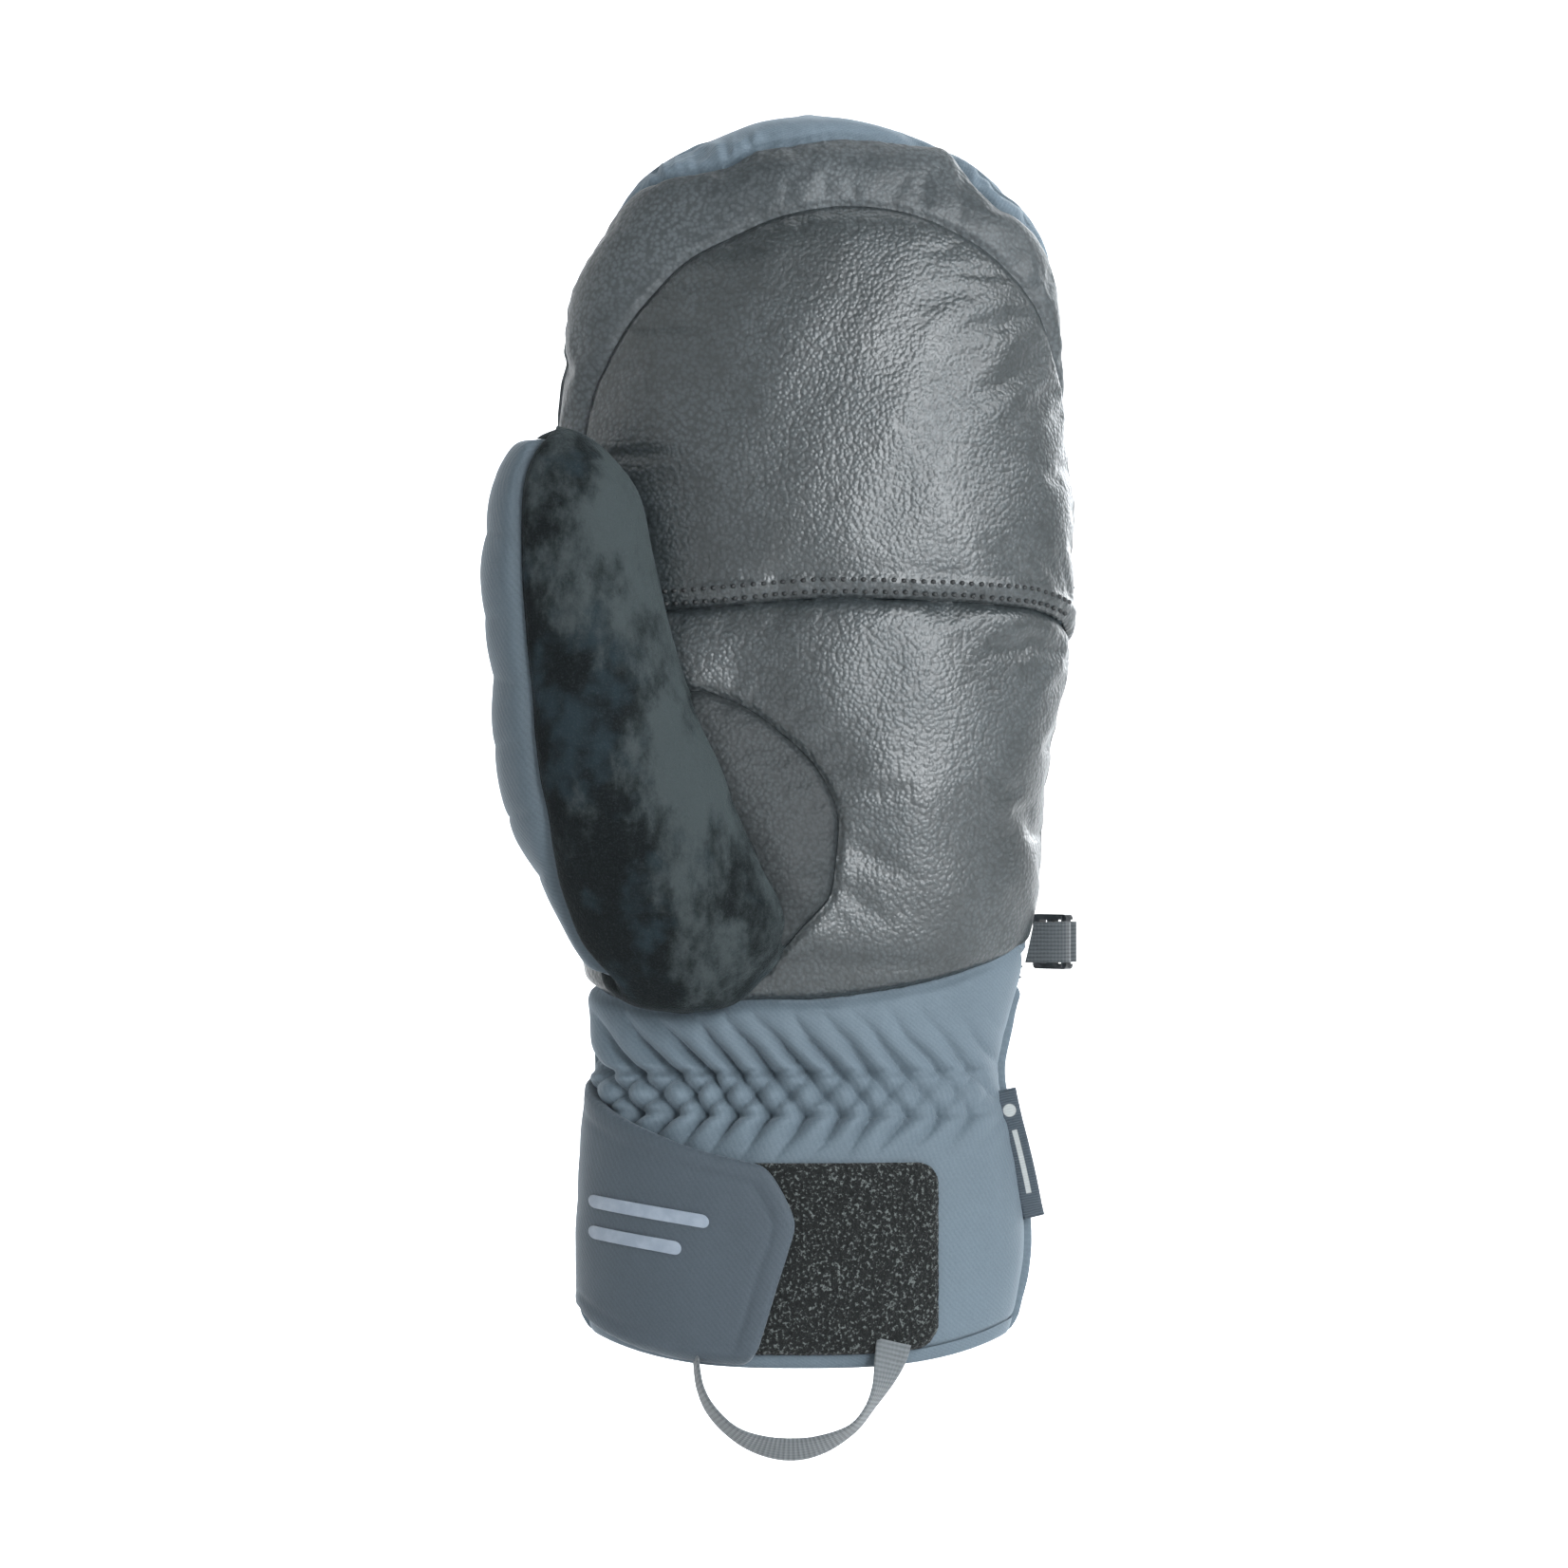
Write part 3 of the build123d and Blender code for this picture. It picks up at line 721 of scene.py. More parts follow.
BACK_WRIST = [
    (51, 84), (45.8, 85.2), (38.6, 86.2), (18, 88.6), (7.3, 90.4), (2.4, 92.8), (-9.7, 96.4),
    (-20.5, 95.8), (-27.7, 92.2), (-39.8, 84.9), (-47, 79.5),
]
WRAP_TOP = [
    (51, 82.5), (45.8, 84.4), (38.6, 85.4), (18, 87.4), (7.3, 88.9), (-4.8, 79.6), (-14.5, 72.4),
    (-25.3, 66.9), (-33.9, 63.6), (-47, 62.2),
]
CRESCENT = [
    (-22, 151.6), (-12.8, 147.4), (-4, 140.6), (2, 134.6), (6.4, 126.7), (7.7, 119.9), (6.8, 111.1),
    (5.5, 104.1), (-0.9, 97.2), (-8.8, 87.6),
]
QUILTS = [
    [
        (-53, 240.9), (-47.7, 252.6), (-39.8, 262.5), (-27, 271.8), (-12.3, 277.2), (8.3, 272.8),
        (26, 268), (38.7, 260.4), (48.6, 246.8),
    ],
    [
        (-55, 203.5), (-49.7, 212.3), (-39.8, 221.3), (-27, 230.1), (-13.3, 237.9), (1.3, 243.8),
        (16, 249.3), (31.4, 254.1), (48.6, 246.8), (57, 237),
    ],
    [
        (-54, 184.8), (-44.8, 194.7), (-33, 202.6), (-18.3, 212.4), (-3.5, 219.5), (16, 214.3),
        (35.9, 207.5), (48.6, 201.1), (62.3, 192.7),
    ],
    [
        (-51.6, 137.7), (-37.8, 141.7), (-23.1, 147.6), (-8.4, 154), (6.4, 161.3), (26, 170.6),
        (42.2, 179.5), (50.5, 177.5), (63.8, 175.6),
    ],
    [(-52.5, 115.1), (-33.8, 120.6), (-14.5, 127.8), (0.6, 132.7), (18, 127.2), (32.6, 123), (51.9, 118.4)],
]


def joined(*lines):
    return np.vstack(lines)


crown = HAND.line(CROWN, PALM)
arch = HAND.line(ARCH, PALM)
knuckle = HAND.line(KNUCKLE, PALM)
palm_wrist = HAND.line(PALM_WRIST, PALM)
back_wrist = HAND.line(BACK_WRIST, BACK)
wrap_top = HAND.line(WRAP_TOP, BACK)
crescent = HAND.line(CRESCENT, PALM)

# The leather's edge on the thumb side lies a little round on the back, and at the little finger on the edge.
THUMB_SEAM = [
    (181, 84), (170, 96), (165, 112), (163.5, 150), (163.5, 200), (165.5, 226), (170, 246),
    (178, 260), (190, 268.5),
]
FINGER_SEAM = [(352, 259), (360, 249), (364, 236), (366, 210), (366, 150), (365, 110), (363, 94)]


def curve(points, step=1.2):
    return even_curve(points, step)


leather_outline = joined(
    curve(THUMB_SEAM), curve(crown[1:]), curve(FINGER_SEAM), curve(palm_wrist[::-1])
)
arch_outline = joined(curve(arch), [(364, 215), (367, 190), (367, 150), (167, 150)], [(arch[0][0], 160)])
below_knuckle = joined(curve(knuckle), [(372, 160), (372, 40), (150, 40), (150, 168)])
crescent_outline = joined(curve(crescent), [(225, 86), (222, 150)])

in_leather = HAND.within(leather_outline, PALM)
in_arch = HAND.within(arch_outline, PALM)
under_knuckle = HAND.within(below_knuckle, PALM)
in_crescent = HAND.within(crescent_outline, PALM)

# Height of the seam between the hand and the wrist, all the way round.
ring = joined(palm_wrist, [(363, 90)], [(a + 360, z) for a, z in back_wrist[back_wrist[:, 0] > 8]])
ring = ring[np.argsort(ring[:, 0])]
ring = joined([(ring[-1][0] - 360, ring[-1][1])], ring, [(ring[0][0] + 360, ring[0][1])])
angles = HAND.theta[0]
seam_height = np.interp(np.where(angles < ring[1][0] - 1e-6, angles + 360, angles), ring[:, 0], ring[:, 1])
column_width = np.maximum(HAND.per_degree[OUTER_FROM + 120] * 360 / HAND.columns, 0.1)
slope = np.gradient(seam_height) / column_width
above_wrist = (HAND.z - seam_height[None, :]) / np.sqrt(1 + slope**2)[None, :]
wrap_height = np.interp(angles, wrap_top[:, 0], wrap_top[:, 1])
wrap_slope = np.gradient(wrap_height) / column_width
under_wrap_top = (wrap_height[None, :] - HAND.z) / np.sqrt(1 + wrap_slope**2)[None, :]


# ---- the hand's soft shape ----------------------------------------------------------------------------


def gathers(x, z):
    """Folds that the two rows of elastic draw up: slanting one way above them and the other way below."""
    high, low, pitch = 64.0, 54.5, 7.7
    drift = waves(x, z, 24, 5) * 1.1
    above = x + 0.85 * (z - high)
    under = x + 0.85 * (low - high) - 0.8 * (z - low)
    phase = (np.where(z > low, above, under) + drift) / pitch
    sharp = np.abs(np.sin(math.pi * phase)) ** 0.62 - 0.62
    back_fold = np.abs(np.sin(math.pi * (x - 0.95 * (z - low) + drift) / pitch)) ** 0.62 - 0.62
    reach = bell(z - high, 9.5) * (z > high) + (z <= high)
    reach = np.where(z < low, bell(low - z, 6.5) * 0.9, reach)
    between_rows = ramp(z, low - 1, low + 2.5) * (1 - ramp(z, high - 2.5, high + 1))
    fold = sharp * (1 - 0.35 * between_rows) + 0.45 * between_rows * back_fold
    side = 1.15 - 0.6 * ramp(x, -25, 42) - 0.4 * ramp(x, 38, 47)
    rows = -1.5 * bell(z - high, 0.9) - 1.3 * bell(z - low, 1.0)
    return (fold * 5.2 * reach + rows) * side


def simulate(form, start_row, pinned, grooves, growth, pressure, cap):
    """Blows the sewn skin out between its pinned seams, as cloth, and gives how far each point moved."""
    rows = np.arange(start_row, form.rows, 4)
    columns = np.arange(0, form.columns, 5)
    grid = np.ix_(rows, columns)
    start = form.base[grid] + form.normal[grid] * grooves[grid][:, :, None]
    count = len(columns)
    faces = []
    for j in range(len(rows) - 1):
        for i in range(count):
            k = (i + 1) % count
            faces.append((j * count + i, j * count + k, (j + 1) * count + k, (j + 1) * count + i))
    mesh = bpy.data.meshes.new("cloth_run")
    mesh.from_pydata((start.reshape(-1, 3) * MM * 10).tolist(), [], faces)
    run = add_object("cloth_run", mesh)
    group = run.vertex_groups.new(name="pins")
    group.add([int(k) for k in np.nonzero(pinned[grid].ravel())[0]], 1.0, "REPLACE")
    cloth = run.modifiers.new("cloth", "CLOTH")
    settings = dict(
        quality=6, mass=0.25, tension_stiffness=12, compression_stiffness=12, shear_stiffness=6,
        bending_stiffness=0.35, tension_damping=12, compression_damping=12, vertex_group_mass="pins",
        shrink_min=-growth, shrink_max=-growth, use_pressure=True, uniform_pressure_force=pressure,
    )
    for key, value in settings.items():
        setattr(cloth.settings, key, value)
    cloth.settings.effector_weights.gravity = 0
    cloth.collision_settings.use_collision = False
    cloth.collision_settings.use_self_collision = False
    scene = bpy.context.scene
    for step in range(1, 19):
        scene.frame_set(step)
    posed = run.evaluated_get(bpy.context.evaluated_depsgraph_get()).data
    found = np.empty(len(posed.vertices) * 3, np.float32)
    posed.vertices.foreach_get("co", found)
    moved = found.reshape(len(rows), count, 3) / MM / 10 - start
    size = np.linalg.norm(moved, axis=2, keepdims=True)
    moved *= np.minimum(1, cap / np.maximum(size, 1e-6))
    bpy.data.objects.remove(run)
    bpy.data.meshes.remove(mesh)
    scene.frame_set(1)
    full = np.zeros((form.rows, form.columns, 3))
    at_row = np.clip((np.arange(form.rows) - start_row) / 4, 0, len(rows) - 1)
    low = np.minimum(at_row.astype(int), len(rows) - 2)
    part = (at_row - low)[:, None, None]
    tall = moved[low] * (1 - part) + moved[low + 1] * part
    at_column = np.arange(form.columns) / 5
    left = at_column.astype(int)
    part = (at_column - left)[None, :, None]
    full = tall[:, left] * (1 - part) + tall[:, (left + 1) % count] * part
    full[:start_row] = 0
    for _ in range(3):
        full = (np.roll(full, 1, 1) + full * 2 + np.roll(full, -1, 1)) / 4
        full[1:-1] = (full[:-2] + full[1:-1] * 2 + full[2:]) / 4
    return full


x, z, theta = HAND.x, HAND.z, HAND.theta
is_palm = (theta > 180).astype(float)
is_back = 1 - is_palm
outer = ramp(np.arange(HAND.rows), OUTER_FROM - 4, OUTER_FROM + 6)[:, None]

quilt_lines = [HAND.line(points, BACK) for points in QUILTS]
quilt_gap = np.min([HAND.far_from(curve(line, 2.5), BACK) for line in quilt_lines], axis=0)
quilt_gap = np.where((theta > 4) & (theta < 176), quilt_gap, 99)
seam_gap = np.minimum(np.abs(in_leather), np.abs(above_wrist))
seam_gap = np.where((in_leather > 0) & (under_knuckle < 0), np.minimum(seam_gap, np.abs(in_arch)), seam_gap)
for gap in (np.abs(under_knuckle), np.abs(in_crescent) + 0.3):
    seam_gap = np.where(in_leather > 0, np.minimum(seam_gap, gap), seam_gap)

pads = 1 - ramp(z, 268, 284)
in_hide = ramp(in_leather, -1, 4)
hollows = -(1.4 - 0.9 * in_hide) * bell(seam_gap, 2.4)
hollows -= 2.6 * bell(quilt_gap, 2.6) * pads
pinned = (seam_gap < 1.35) | (quilt_gap < 1.3) | (z < 90 - 8 * is_back) | (z > 279)
swell = simulate(HAND, OUTER_FROM, pinned, hollows, growth=0.016, pressure=3.0, cap=4.0)

seam_cut = -(0.9 - 0.5 * in_hide) * bell(seam_gap, 1.0)
quilt_cut = -1.5 * bell(quilt_gap, 1.0) * pads
puff = 1.6 * (1 - bell(np.minimum(quilt_gap, seam_gap), 9)) * is_back * ramp(z, 96, 120) * pads
pucker = np.exp(-(quilt_gap / 4.5)) * 0.42 * waves(x * 1.0, z * 0.35, 5.5, 21) * (quilt_gap < 30)
pucker += np.exp(-(seam_gap / 3.5)) * (0.22 - 0.14 * in_hide) * waves(x, z, 5, 22)
tip_pleats = bell(in_leather + 3, 4) * is_palm * ramp(z, 255, 268)
tip_pleats = tip_pleats * 1.1 * waves(x, z * 0.3, 7, 31) * (1 - ramp(z, 276, 283))
drape = 0.55 * waves(x, z, 38, 41, 2) * ramp(z, 84, 110)
cuff_drape = 0.5 * waves(x, z, 30, 42) * (1 - ramp(z, 50, 70)) * outer
thumb_root = HAND.line([(-40, 80), (-4, 97), (-12, 122), (-24, 145), (-33, 175), (-42, 205)], PALM)
root_gap = HAND.far_from(curve(thumb_root, 4), PALM)
climb = 3.2 * bell(root_gap, 9) * is_palm * ramp(z, 84, 96) * (1 - ramp(z, 150, 175))
wrist_folds = gathers(x, z) * is_palm * np.sin(np.radians(np.clip(theta - 180, 0, 180))) ** 0.25
wrist_folds = wrist_folds * (z > 38) * (1 - ramp(above_wrist, -2.5, 0))
hem_drop = np.where(z < 30, (-3.4 + 8.5 * np.clip(np.abs(x + 1) / 51, 0, 1) ** 3) * (1 - ramp(z, 2, 26)), 0)

HAND.shape = HAND.shape + swell
seams = hollows + seam_cut + quilt_cut + pucker + tip_pleats
HAND.move((seams + puff + drape + climb + wrist_folds + cuff_drape) * outer)
# The shell lies flat where the clip turns against it.
clip_room = (bell(z - 93.5, 10) * ramp(x, 36, 48))[:, :, None]
HAND.shape = HAND.shape * (1 - clip_room) + (HAND.base - 0.6 * HAND.normal) * clip_room
HAND.shape[:, :, 2] += hem_drop
HAND.settle()

# ---- the hand's panels --------------------------------------------------------------------------------

LEATHER_EDGE = dict(edge=0.55, width=1.0)
upper_palm = np.minimum(np.minimum(in_leather, in_arch), -under_knuckle)
lower_palm = np.minimum(np.minimum(in_leather, under_knuckle), -in_crescent)
crescent_part = np.minimum(in_leather, in_crescent)
fingertip = np.minimum(np.minimum(in_leather, -in_arch), -under_knuckle)
outer_only = HAND.along - HAND.along[OUTER_FROM, 0]

KNUCKLE_FOLD = 0.75 * (1 - ramp(np.abs(under_knuckle), 4.2, 6.5)) * (under_knuckle < 0)
palm_upper = panel("palm_upper_leather_skin", HAND, upper_palm, LEATHER, push=KNUCKLE_FOLD, **LEATHER_EDGE)
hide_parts("palm_upper_leather", "palm_insulation")
palm_lower = panel("palm_lower_leather_skin", HAND, lower_palm, LEATHER, **LEATHER_EDGE)
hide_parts("palm_lower_leather", "hand_membrane")
gusset = panel("thumb_gusset_skin", HAND, crescent_part, GUSSET_LEATHER, edge=0.9, width=1.2)
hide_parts("thumb_gusset_leather")
tip = panel("fingertip_leather_skin", HAND, fingertip, TIP_LEATHER, **LEATHER_EDGE)
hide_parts("fingertip_leather")
back = panel("back_shell_skin", HAND, np.minimum(-in_leather, above_wrist), FABRIC, edge=1.0, width=1.8)
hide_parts("back_shell", "back_insulation")
wrist_fabric = np.minimum(np.minimum(-above_wrist, outer_only - 1.5), 60.0)
cuff = panel("cuff_skin", HAND, wrist_fabric, CUFF_FABRIC, edge=0.9, width=1.6)
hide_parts("cuff_shell", "palm_wrist_fabric", "wrist_yoke", "cuff_padding", "wrist_elastic")
hem = panel("cuff_hem_binding", HAND, np.minimum(2.2 - outer_only, HAND.along - 24), CUFF_FABRIC, edge=0.0)
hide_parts("cuff_hem")
lining = panel("cuff_lining_fleece", HAND, 24.6 - HAND.along, LINING, edge=0.0)
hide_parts("cuff_lining", "hand_lining")

# ---- the thumb ----------------------------------------------------------------------------------------

THUMB = Form(
    [
        (77.6, -29, -27, -25, -24),
        (79.4, -39.5, -17.2, -31, -19),
        (84.5, -47.0, -10.6, -35.5, -12),
        (92.5, -52.8, -3.6, -40, -6),
        (101, -57.2, -2.0, -43.5, -3),
        (110, -62.0, -6.4, -46, -3),
        (119, -66.2, -10.8, -47.5, -5),
        (129, -69.2, -16.0, -48, -7),
        (140, -70.6, -21.8, -48, -8.5),
        (153, -71.4, -27.0, -47.6, -10),
        (170, -73.2, -31.8, -47, -11),
        (185, -73.0, -35.2, -46, -11.5),
        (198, -71.6, -39.4, -43.5, -13),
        (206, -68.0, -45.3, -40, -16.5),
        (210.4, -63.0, -51.2, -35.5, -22),
        (212.0, -57.5, -56.5, -29, -28),
    ],
    columns=360,
    step=0.6,
)
tx, tz = THUMB.x, THUMB.z
SUEDE_FRONT = [
    (-59.5, 210.6), (-64.4, 202), (-65.6, 189.6), (-65.2, 175), (-64.2, 160), (-62.9, 145),
    (-61.6, 133), (-59.4, 120.8), (-57.2, 106), (-51.6, 93.3), (-45, 85),
]
SUEDE_BACK = [
    (-59.8, 210.8), (-60.4, 200), (-61.0, 185), (-61.2, 170), (-60, 153), (-58.6, 140),
    (-56.5, 129), (-53, 119), (-48, 108), (-42, 98), (-38, 88),
]
suede_front = THUMB.line(SUEDE_FRONT, PALM)
suede_back = THUMB.line(SUEDE_BACK, BACK)
fabric_outline = joined(curve(suede_front, 2), curve(suede_back[::-1], 2))
in_thumb_fabric = THUMB.within(fabric_outline, BACK)
thumb_gap = np.abs(in_thumb_fabric)
creases = 0.7 * np.abs(np.sin(math.pi * (tz + 3.0 * waves(tx, tz, 26, 52)) / 15.5)) ** 0.5
thumb_drape = 0.75 * waves(tx, tz, 30, 51) * ramp(tz, 82, 100) * (1 - ramp(tz, 200, 211))
THUMB.move(
    -1.3 * bell(thumb_gap, 1.7)
    + thumb_drape
    + creases * ramp(in_thumb_fabric, 0, 5) * ramp(tz, 95, 110) * (1 - ramp(tz, 190, 205))
)
THUMB.settle()
thumb_face = panel("thumb_suede_skin", THUMB, -in_thumb_fabric, SUEDE, edge=0.5, width=1.0)
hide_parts("thumb_suede_face", "thumb_insulation", "thumb_membrane", "thumb_lining")
# The thumb's fabric takes the darker softshell copy, which is painted shade.
thumb_back = panel("thumb_fabric_skin", THUMB, in_thumb_fabric, SHADED_THUMB_FABRIC, edge=0.7, width=1.6)
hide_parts("thumb_back_fabric")

# ---- the cuff's wrap and closure ----------------------------------------------------------------------


def raised(form, lift):
    """A copy of a form, standing out from its smooth shape by lift."""
    copy = Form.__new__(Form)
    copy.__dict__.update(form.__dict__)
    copy.shape = form.base + form.normals(form.base) * lift[:, :, None]
    copy.shape[:, :, 2] += hem_drop
    copy.settle()
    return copy


wrap_drape = 0.55 * waves(x, z, 34, 61) + 0.25 * waves(x, z * 0.5, 14, 62) * (1 - ramp(z, 50, 80))
WRAP = raised(HAND, (1.7 + wrap_drape) * outer)
under_top = np.where((theta > 2) & (theta < 178), under_wrap_top, np.minimum(theta - 2, 178 - theta) * 0.5)
wrap_field = np.minimum(under_top, outer_only + 1.4)
wrap = panel("cuff_wrap_skin", WRAP, wrap_field, CUFF_FABRIC, edge=0.9, width=0.9, thick=1.6)
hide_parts("cuff_wrap")

FLAP_OUTLINE = [
    (-49.6, 61.2), (-44.2, 55.2), (-35.6, 50.6), (-22.9, 46.0), (-13.2, 43.6), (-9.0, 42.0), (-5.7, 37.6),
    (-3.1, 32.3), (-2.4, 29.0), (-4.0, 23.2), (-6.6, 16.4), (-9.6, 7.8), (-12.1, 1.9), (-15.0, 0.2),
    (-20, -0.1), (-27, 0.2), (-38, 1.4), (-46, 3.2), (-49.8, 5.0),
]
flap_line = HAND.line(FLAP_OUTLINE, PALM)
flap_line = joined([(171, 62.5)], flap_line, [(171, 5.6)])
flap_outline = joined([flap_line[0]], curve(flap_line[1:-1], 1.0), [flap_line[-1]])
in_flap = np.minimum(HAND.within(flap_outline, PALM), outer_only + 0.4)
front = ramp(HAND.theta, 178, 222)
FLAP = raised(HAND, (2.3 + 2.6 * front + 0.35 * waves(x, z, 30, 63)) * outer)
inner_step = -0.4 * bell(in_flap - 4.6, 0.9) - 0.25 * ramp(in_flap, 4.2, 6.0)
flap = panel(
    "closure_flap_skin", FLAP, in_flap, FLAP_FABRIC, edge=1.0, width=0.8, thick=2.0, body=None,
    push=inner_step,
)
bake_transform(flap)
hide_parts("closure_flap")


def rounded_box(x0, z0, x1, z1, radius):
    """Signed distance into a rounded rectangle."""
    middle_x, middle_z = (x0 + x1) / 2, (z0 + z1) / 2

    def field(px, pz):
        dx = np.abs(px - middle_x) - (x1 - x0) / 2 + radius
        dz = np.abs(pz - middle_z) - (z1 - z0) / 2 + radius
        return radius - np.hypot(np.maximum(dx, 0), np.maximum(dz, 0)) - np.minimum(np.maximum(dx, dz), 0)

    return field


hook_tape = decal(
    "flap_hook_tape_strip", FLAP, PALM, ((-36, 6), (-7, 40)), rounded_box(-35, 8, -11.5, 37, 3.0), HOOKS,
    0.8, -1.6, 0.9, body="closure",
)
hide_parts("flap_hook_tape")


def curls(px, pz):
    """The pile's lumpy face."""
    draw = np.random.default_rng(71)
    return draw.normal(0, 0.16, px.shape)


SMOOTH_CUFF = raised(HAND, (0.3 + 0 * z) * outer)
patch_shape = rounded_box(-26, 3.2, 30.0, 43.4, 5.0)
patch = decal(
    "closure_patch_pile", SMOOTH_CUFF, PALM, ((-26.5, 2.6), (30.5, 44)), patch_shape, PILE, 0.55, 1.4, 1.6,
    bump=curls, round_edge=0.6,
)
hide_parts("closure_patch")


def bars(px, pz):
    """Two plain bars, the lower one shorter."""
    tilt = 0.16 * (px + 33)
    upper = 1.5 - np.hypot(np.maximum(np.abs(px + 34) - 11.5, 0), pz + tilt - 32)
    lower = 1.5 - np.hypot(np.maximum(np.abs(px + 37) - 8.5, 0), pz + tilt - 25)
    return np.maximum(upper, lower)


flap_print = decal(
    "flap_print_bars", FLAP, PALM, ((-48.5, 18), (-20, 37)), bars, BAR_PRINT, 0.25, 0.12, 0.2, body="closure"
)
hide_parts("flap_print")


def crystal(px, pz):
    """A plain six-armed snow crystal."""
    dx, dz = px + 24.0, pz - 171.7
    best = np.full(px.shape, -99.0)
    for turn in np.radians([30, 90, 150]):
        along = dx * math.cos(turn) + dz * math.sin(turn)
        across = -dx * math.sin(turn) + dz * math.cos(turn)
        best = np.maximum(best, 0.9 - np.hypot(np.maximum(np.abs(along) - 9.6, 0), across))
        for sign in (1, -1):
            foot = np.abs(along) - 6.0
            limb_along = foot * math.cos(math.radians(60)) + across * sign * math.sin(math.radians(60))
            limb_across = -foot * math.sin(math.radians(60)) + across * sign * math.cos(math.radians(60))
            limb = 0.75 - np.hypot(np.maximum(np.abs(limb_along - 1.6) - 1.6, 0), limb_across)
            best = np.maximum(best, limb)
    return best


back_print = decal(
    "back_print_crystal", HAND, BACK, ((-36, 160), (-12, 184)), crystal, PRINT, 0.25, 0.15, 0.25
)
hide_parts("back_print")

# ---- stitching ----------------------------------------------------------------------------------------


def shifted(line, dz):
    moved = np.array(line, float)
    moved[:, 1] += dz
    return moved


knuckle_seen = even_curve(knuckle, 2)
for name, dz, lift in (("knuckle_stitches_low", 1.9, 0.95), ("knuckle_stitches_high", 4.6, 0.7)):
    stitches(name, HAND, shifted(knuckle_seen, dz), SEAM_THREAD, 2.3, 1.4, 1.1, lift)
for number, line in enumerate(quilt_lines):
    stitches(f"quilt_stitches_{number + 1}", HAND, even_curve(line, 2), THREAD, 2.4, 1.7, 0.6, 0.1)
wrist_stitch_line = even_curve(back_wrist, 2)
for name, dz in (("wrist_stitches_low", 1.2), ("wrist_stitches_high", 3.6)):
    stitches(name, HAND, shifted(wrist_stitch_line, dz), THREAD, 2.2, 1.5, 0.6, 0.15)

# ---- pull loop ----------------------------------------------------------------------------------------

# Along the tape: x, depth and height of its middle, and how far its width is turned out of the picture.
LOOP_ROUTE = [
    (-25.4, -21.6, 2.4, 82), (-25.2, -22.6, -1.6, 82), (-24.2, -24.2, -8.0, 78), (-21.5, -24.8, -13.4, 71),
    (-16.6, -24.8, -18.2, 66), (-10.2, -24.2, -21.2, 54), (-3.2, -24.0, -22.2, 48), (3.6, -24.2, -21.0, 56),
    (10.6, -24.6, -17.4, 72), (14.6, -25.0, -12.6, 74), (17.4, -25.4, -7.4, 58), (19.2, -25.6, -1.8, 28),
    (20.2, -25.3, 2.6, 4),
]
TAPE_WIDTH, TAPE_THICK = 8.0, 0.9


def tape(name, route, width, thick, material, body, step=0.7):
    """A woven tape along a route, with its width turned as the route says."""
    path = even_curve(route, step)
    middle = path[:, :3]
    along = unit(np.gradient(middle, axis=0))
    flat = unit(np.cross(along, (0, 1, 0)))
    turn = np.radians(path[:, 3])[:, None]
    wide = flat * np.cos(turn) + np.cross(along, flat) * np.sin(turn)
    face = np.cross(along, wide)
    section = []
    for k in range(13):
        part = -1 + 2 * k / 12
        section.append((part * width / 2, thick / 2 * (1 - 0.55 * abs(part) ** 6)))
    section += [(a, -b) for a, b in section[::-1]]
    points = np.concatenate([middle + wide * a + face * b for a, b in section])
    count, size = len(middle), len(section)
    faces = []
    for k in range(size):
        nxt = (k + 1) % size
        for j in range(count - 1):
            faces.append((k * count + j, nxt * count + j, nxt * count + j + 1, k * count + j + 1))
    faces.append(tuple(k * count for k in range(size))[::-1])
    faces.append(tuple(k * count + count - 1 for k in range(size)))
    length = run_along(middle)
    uv = np.concatenate([np.stack([np.full(count, a), length], axis=1) for a, _ in section])
    return make_mesh(name, points, faces, material, uv, body)


loop = tape("pull_loop_tape", LOOP_ROUTE, TAPE_WIDTH, TAPE_THICK, TAPE, None)
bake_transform(loop)
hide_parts("pull_loop", "loop_anchor_left", "loop_anchor_right")

# ---- side label ---------------------------------------------------------------------------------------


def label_cloth(name):
    """A dark woven label with a pale bar and dot of thread."""
    n = Nodes(name)
    split = n.add("ShaderNodeSeparateXYZ", {0: n.place.outputs["UV"]})
    across, along = split.outputs[0], split.outputs[1]
    narrow = n.between(n.maths("ABSOLUTE", across), 0.0005, 0.0007, 1, 0)
    in_bar = n.times(narrow, n.between(along, 0.0095, 0.0098))
    in_bar = n.times(in_bar, n.between(along, 0.0245, 0.0248, 1, 0))
    rise = n.maths("SUBTRACT", along, 0.005)
    squares = n.plus(n.maths("POWER", across, 2.0), n.maths("POWER", rise, 2.0))
    dot = n.maths("POWER", squares, 0.5)
    in_dot = n.between(dot, 0.0014, 0.0016, 1, 0)
    mark = n.maths("MAXIMUM", in_bar, in_dot)
    ribs = n.stripes(0.0006, n.mapped(source="UV"), direction="Y")
    ground = n.blend(ribs, (0.030, 0.042, 0.055), (0.048, 0.064, 0.080))
    colour = n.blend(mark, ground, (0.34, 0.36, 0.36))
    return n.finish(colour, 0.6, n.bump(ribs, 0.0001), Specular_IOR_Level=0.4)


LABEL_ROUTE = [
    (46.2, -2.4, 59.5, 3), (47.6, -3.4, 53, 5), (49.4, -3.6, 46, 8), (51.0, -3.2, 39, 6),
    (52.2, -2.4, 33, 2), (52.9, -1.6, 30.0, 0),
]
label = tape("side_label_tape", LABEL_ROUTE, 5.0, 0.6, label_cloth("woven_label"), "mitten")
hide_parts("side_label")

# ---- the clip and its tab keep their CAD shape --------------------------------------------------------

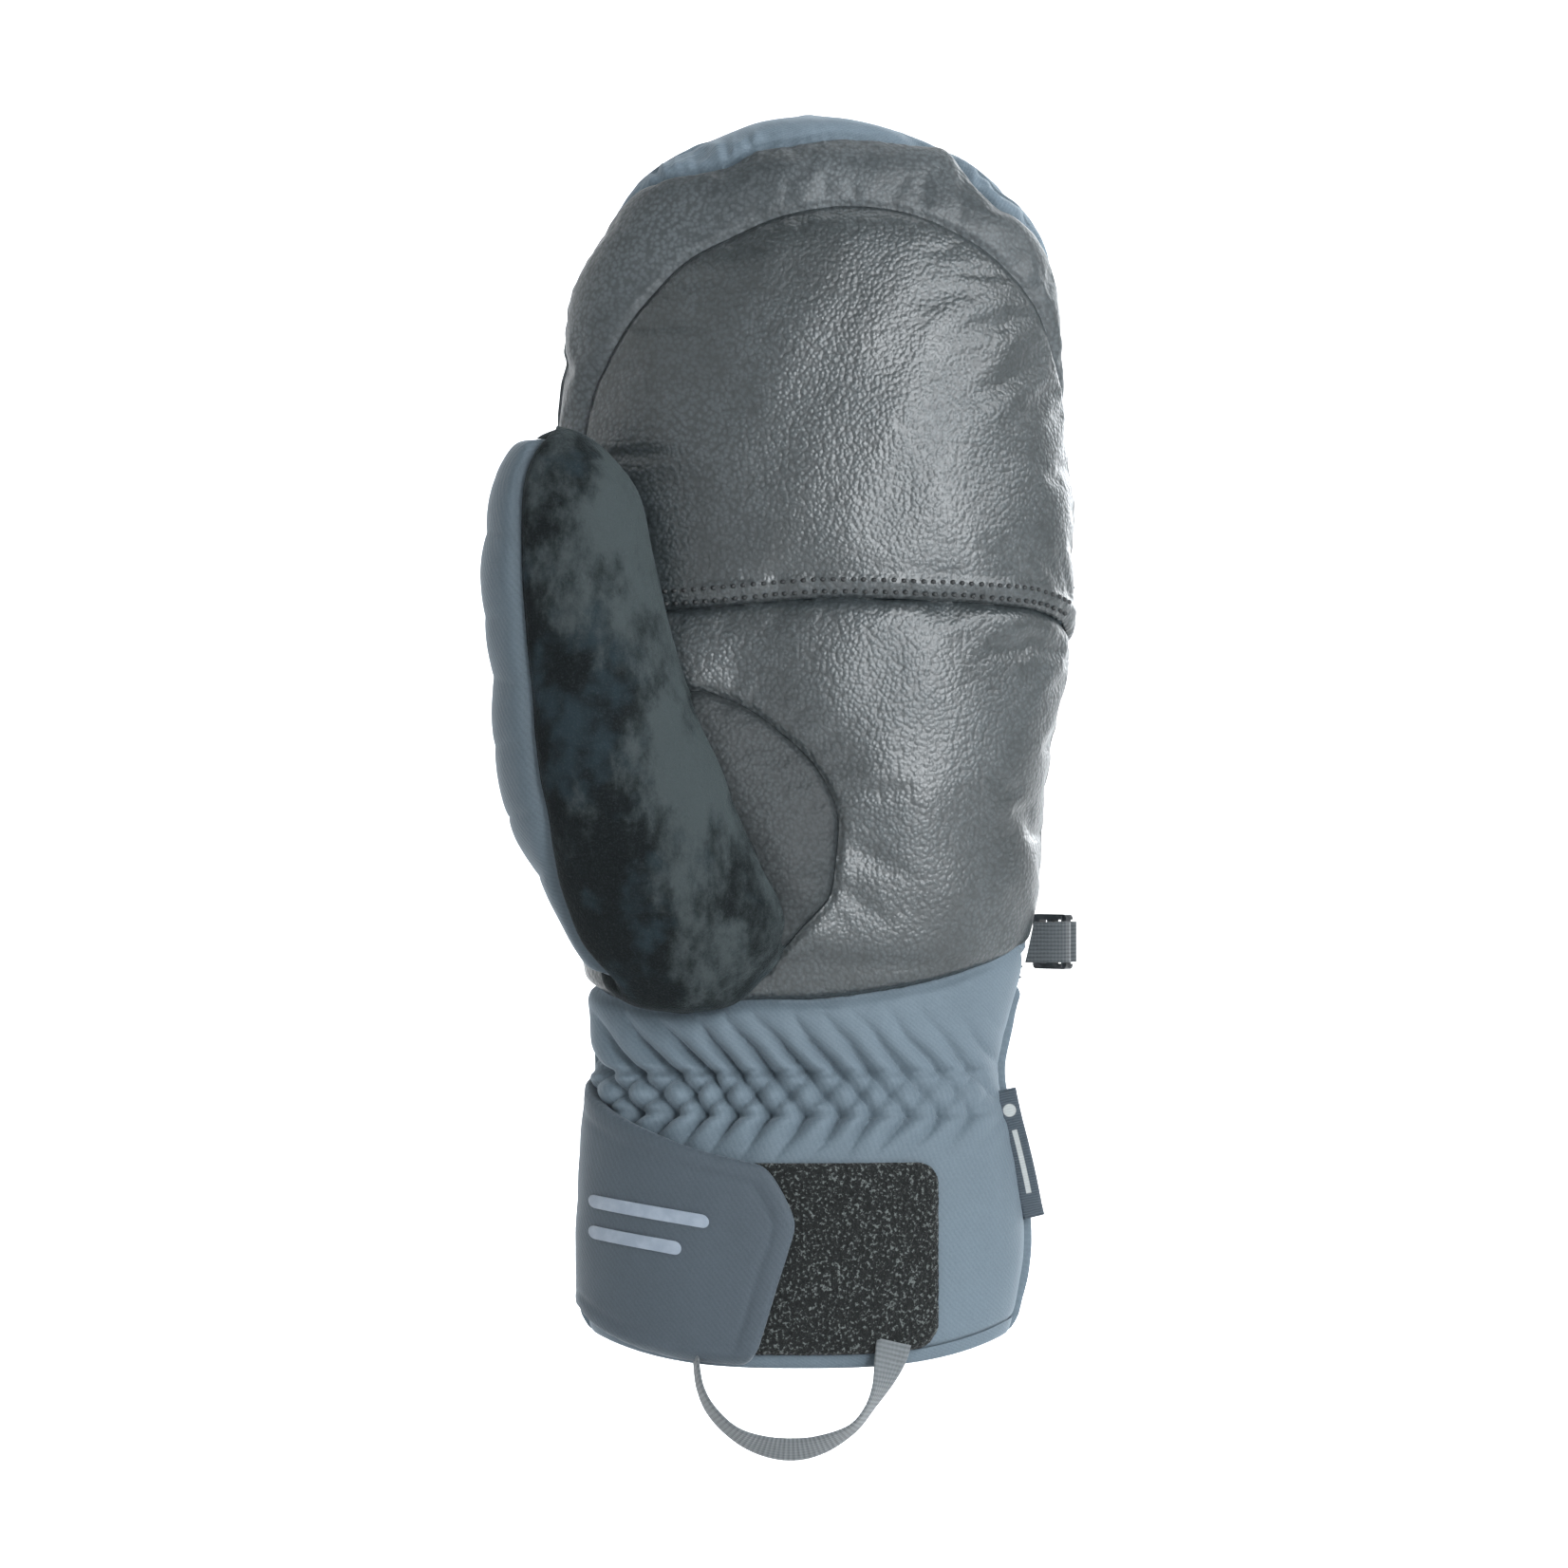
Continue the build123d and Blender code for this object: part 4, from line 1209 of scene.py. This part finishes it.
for node, material in (("pair_clip", moulded("pair_clip_plastic")), ("clip_tab", TAB)):
    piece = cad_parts[node]
    piece.data.materials.clear()
    piece.data.materials.append(material)

# ---- floor, light and camera --------------------------------------------------------------------------

FRAME_HEIGHT = 0.3634  # the photograph's whole height at the mitten's distance
LENS = 200.0
CAMERA_AT = (-0.0050, -FRAME_HEIGHT * LENS / 36.0, 0.1302)
FLOOR_Z = -0.075

camera_data = bpy.data.cameras.new("camera")
camera_data.lens = LENS
camera_data.clip_start, camera_data.clip_end = 0.05, 50
camera = add_object("camera", camera_data)
camera.location = CAMERA_AT
camera.rotation_euler = (math.radians(90), 0, 0)
bpy.context.scene.camera = camera

# A round floor that curves up into a wall, well away from the mitten on every side.
BOWL, SWEEP, WALL_TOP, SPOKES = 4.0, 1.4, 4.5, 64
bend = [
    (BOWL - SWEEP + SWEEP * math.sin(a), FLOOR_Z + SWEEP - SWEEP * math.cos(a))
    for a in np.linspace(0, math.pi / 2, 17)
]
profile = bend + [(BOWL, WALL_TOP)]
floor_points, floor_faces = [(0, 0, FLOOR_Z)], []
for spoke in range(SPOKES):
    turn = 2 * math.pi * spoke / SPOKES
    floor_points += [(radius * math.cos(turn), radius * math.sin(turn), height) for radius, height in profile]
    this, following = 1 + spoke * len(profile), 1 + (spoke + 1) % SPOKES * len(profile)
    floor_faces.append((0, this, following))
    for k in range(len(profile) - 1):
        floor_faces.append((this + k, this + k + 1, following + k + 1, following + k))
floor_mesh = bpy.data.meshes.new("floor")
floor_mesh.from_pydata(floor_points, [], floor_faces)
for face in floor_mesh.polygons:
    face.use_smooth = True
floor = add_object("floor", floor_mesh)
paint = Nodes("floor_paint")
floor_mesh.materials.append(
    paint.finish(
        Base_Color=(0.9, 0.9, 0.9, 1), Roughness=0.95, Specular_IOR_Level=0.05,
        Emission_Color=(1, 1, 1, 1), Emission_Strength=0.12,
    )
)


def softbox(name, place, target, size, power):
    """A square soft light, aimed at a point."""
    data = bpy.data.lights.new(name, "AREA")
    data.shape = "RECTANGLE"
    data.size, data.size_y = size
    data.energy = power
    data.color = (0.93, 0.97, 1.0)
    light = add_object(name, data)
    light.location = place
    light.rotation_euler = Vector(target - np.array(place)).to_track_quat("-Z", "Y").to_euler()


MIDDLE = np.array([0.0, 0.0, 0.13])
softbox("key", (1.05, -0.65, 0.80), MIDDLE, (0.5, 0.5), 9)
softbox("palm_glow", (0.60, -1.15, 0.40), MIDDLE, (0.24, 0.8), 15)
softbox("left_edge", (-1.2, 0.1, 0.5), MIDDLE, (0.4, 1.0), 0.8)
softbox("top", (0.1, 0.2, 1.3), MIDDLE, (0.7, 0.7), 4)
softbox("back", (0.7, 1.1, 0.6), MIDDLE, (0.8, 0.8), 9)
softbox("wall", (0, 1.2, 1.7), np.array([0.0, 3.4, 0.1]), (2.4, 0.7), 150)

world = bpy.data.worlds.new("studio")
world.use_nodes = True
world.node_tree.nodes["Background"].inputs["Color"].default_value = (1, 1, 1, 1)
world.node_tree.nodes["Background"].inputs["Strength"].default_value = 0.15
bpy.context.scene.world = world
bpy.context.scene.view_settings.view_transform = "Standard"
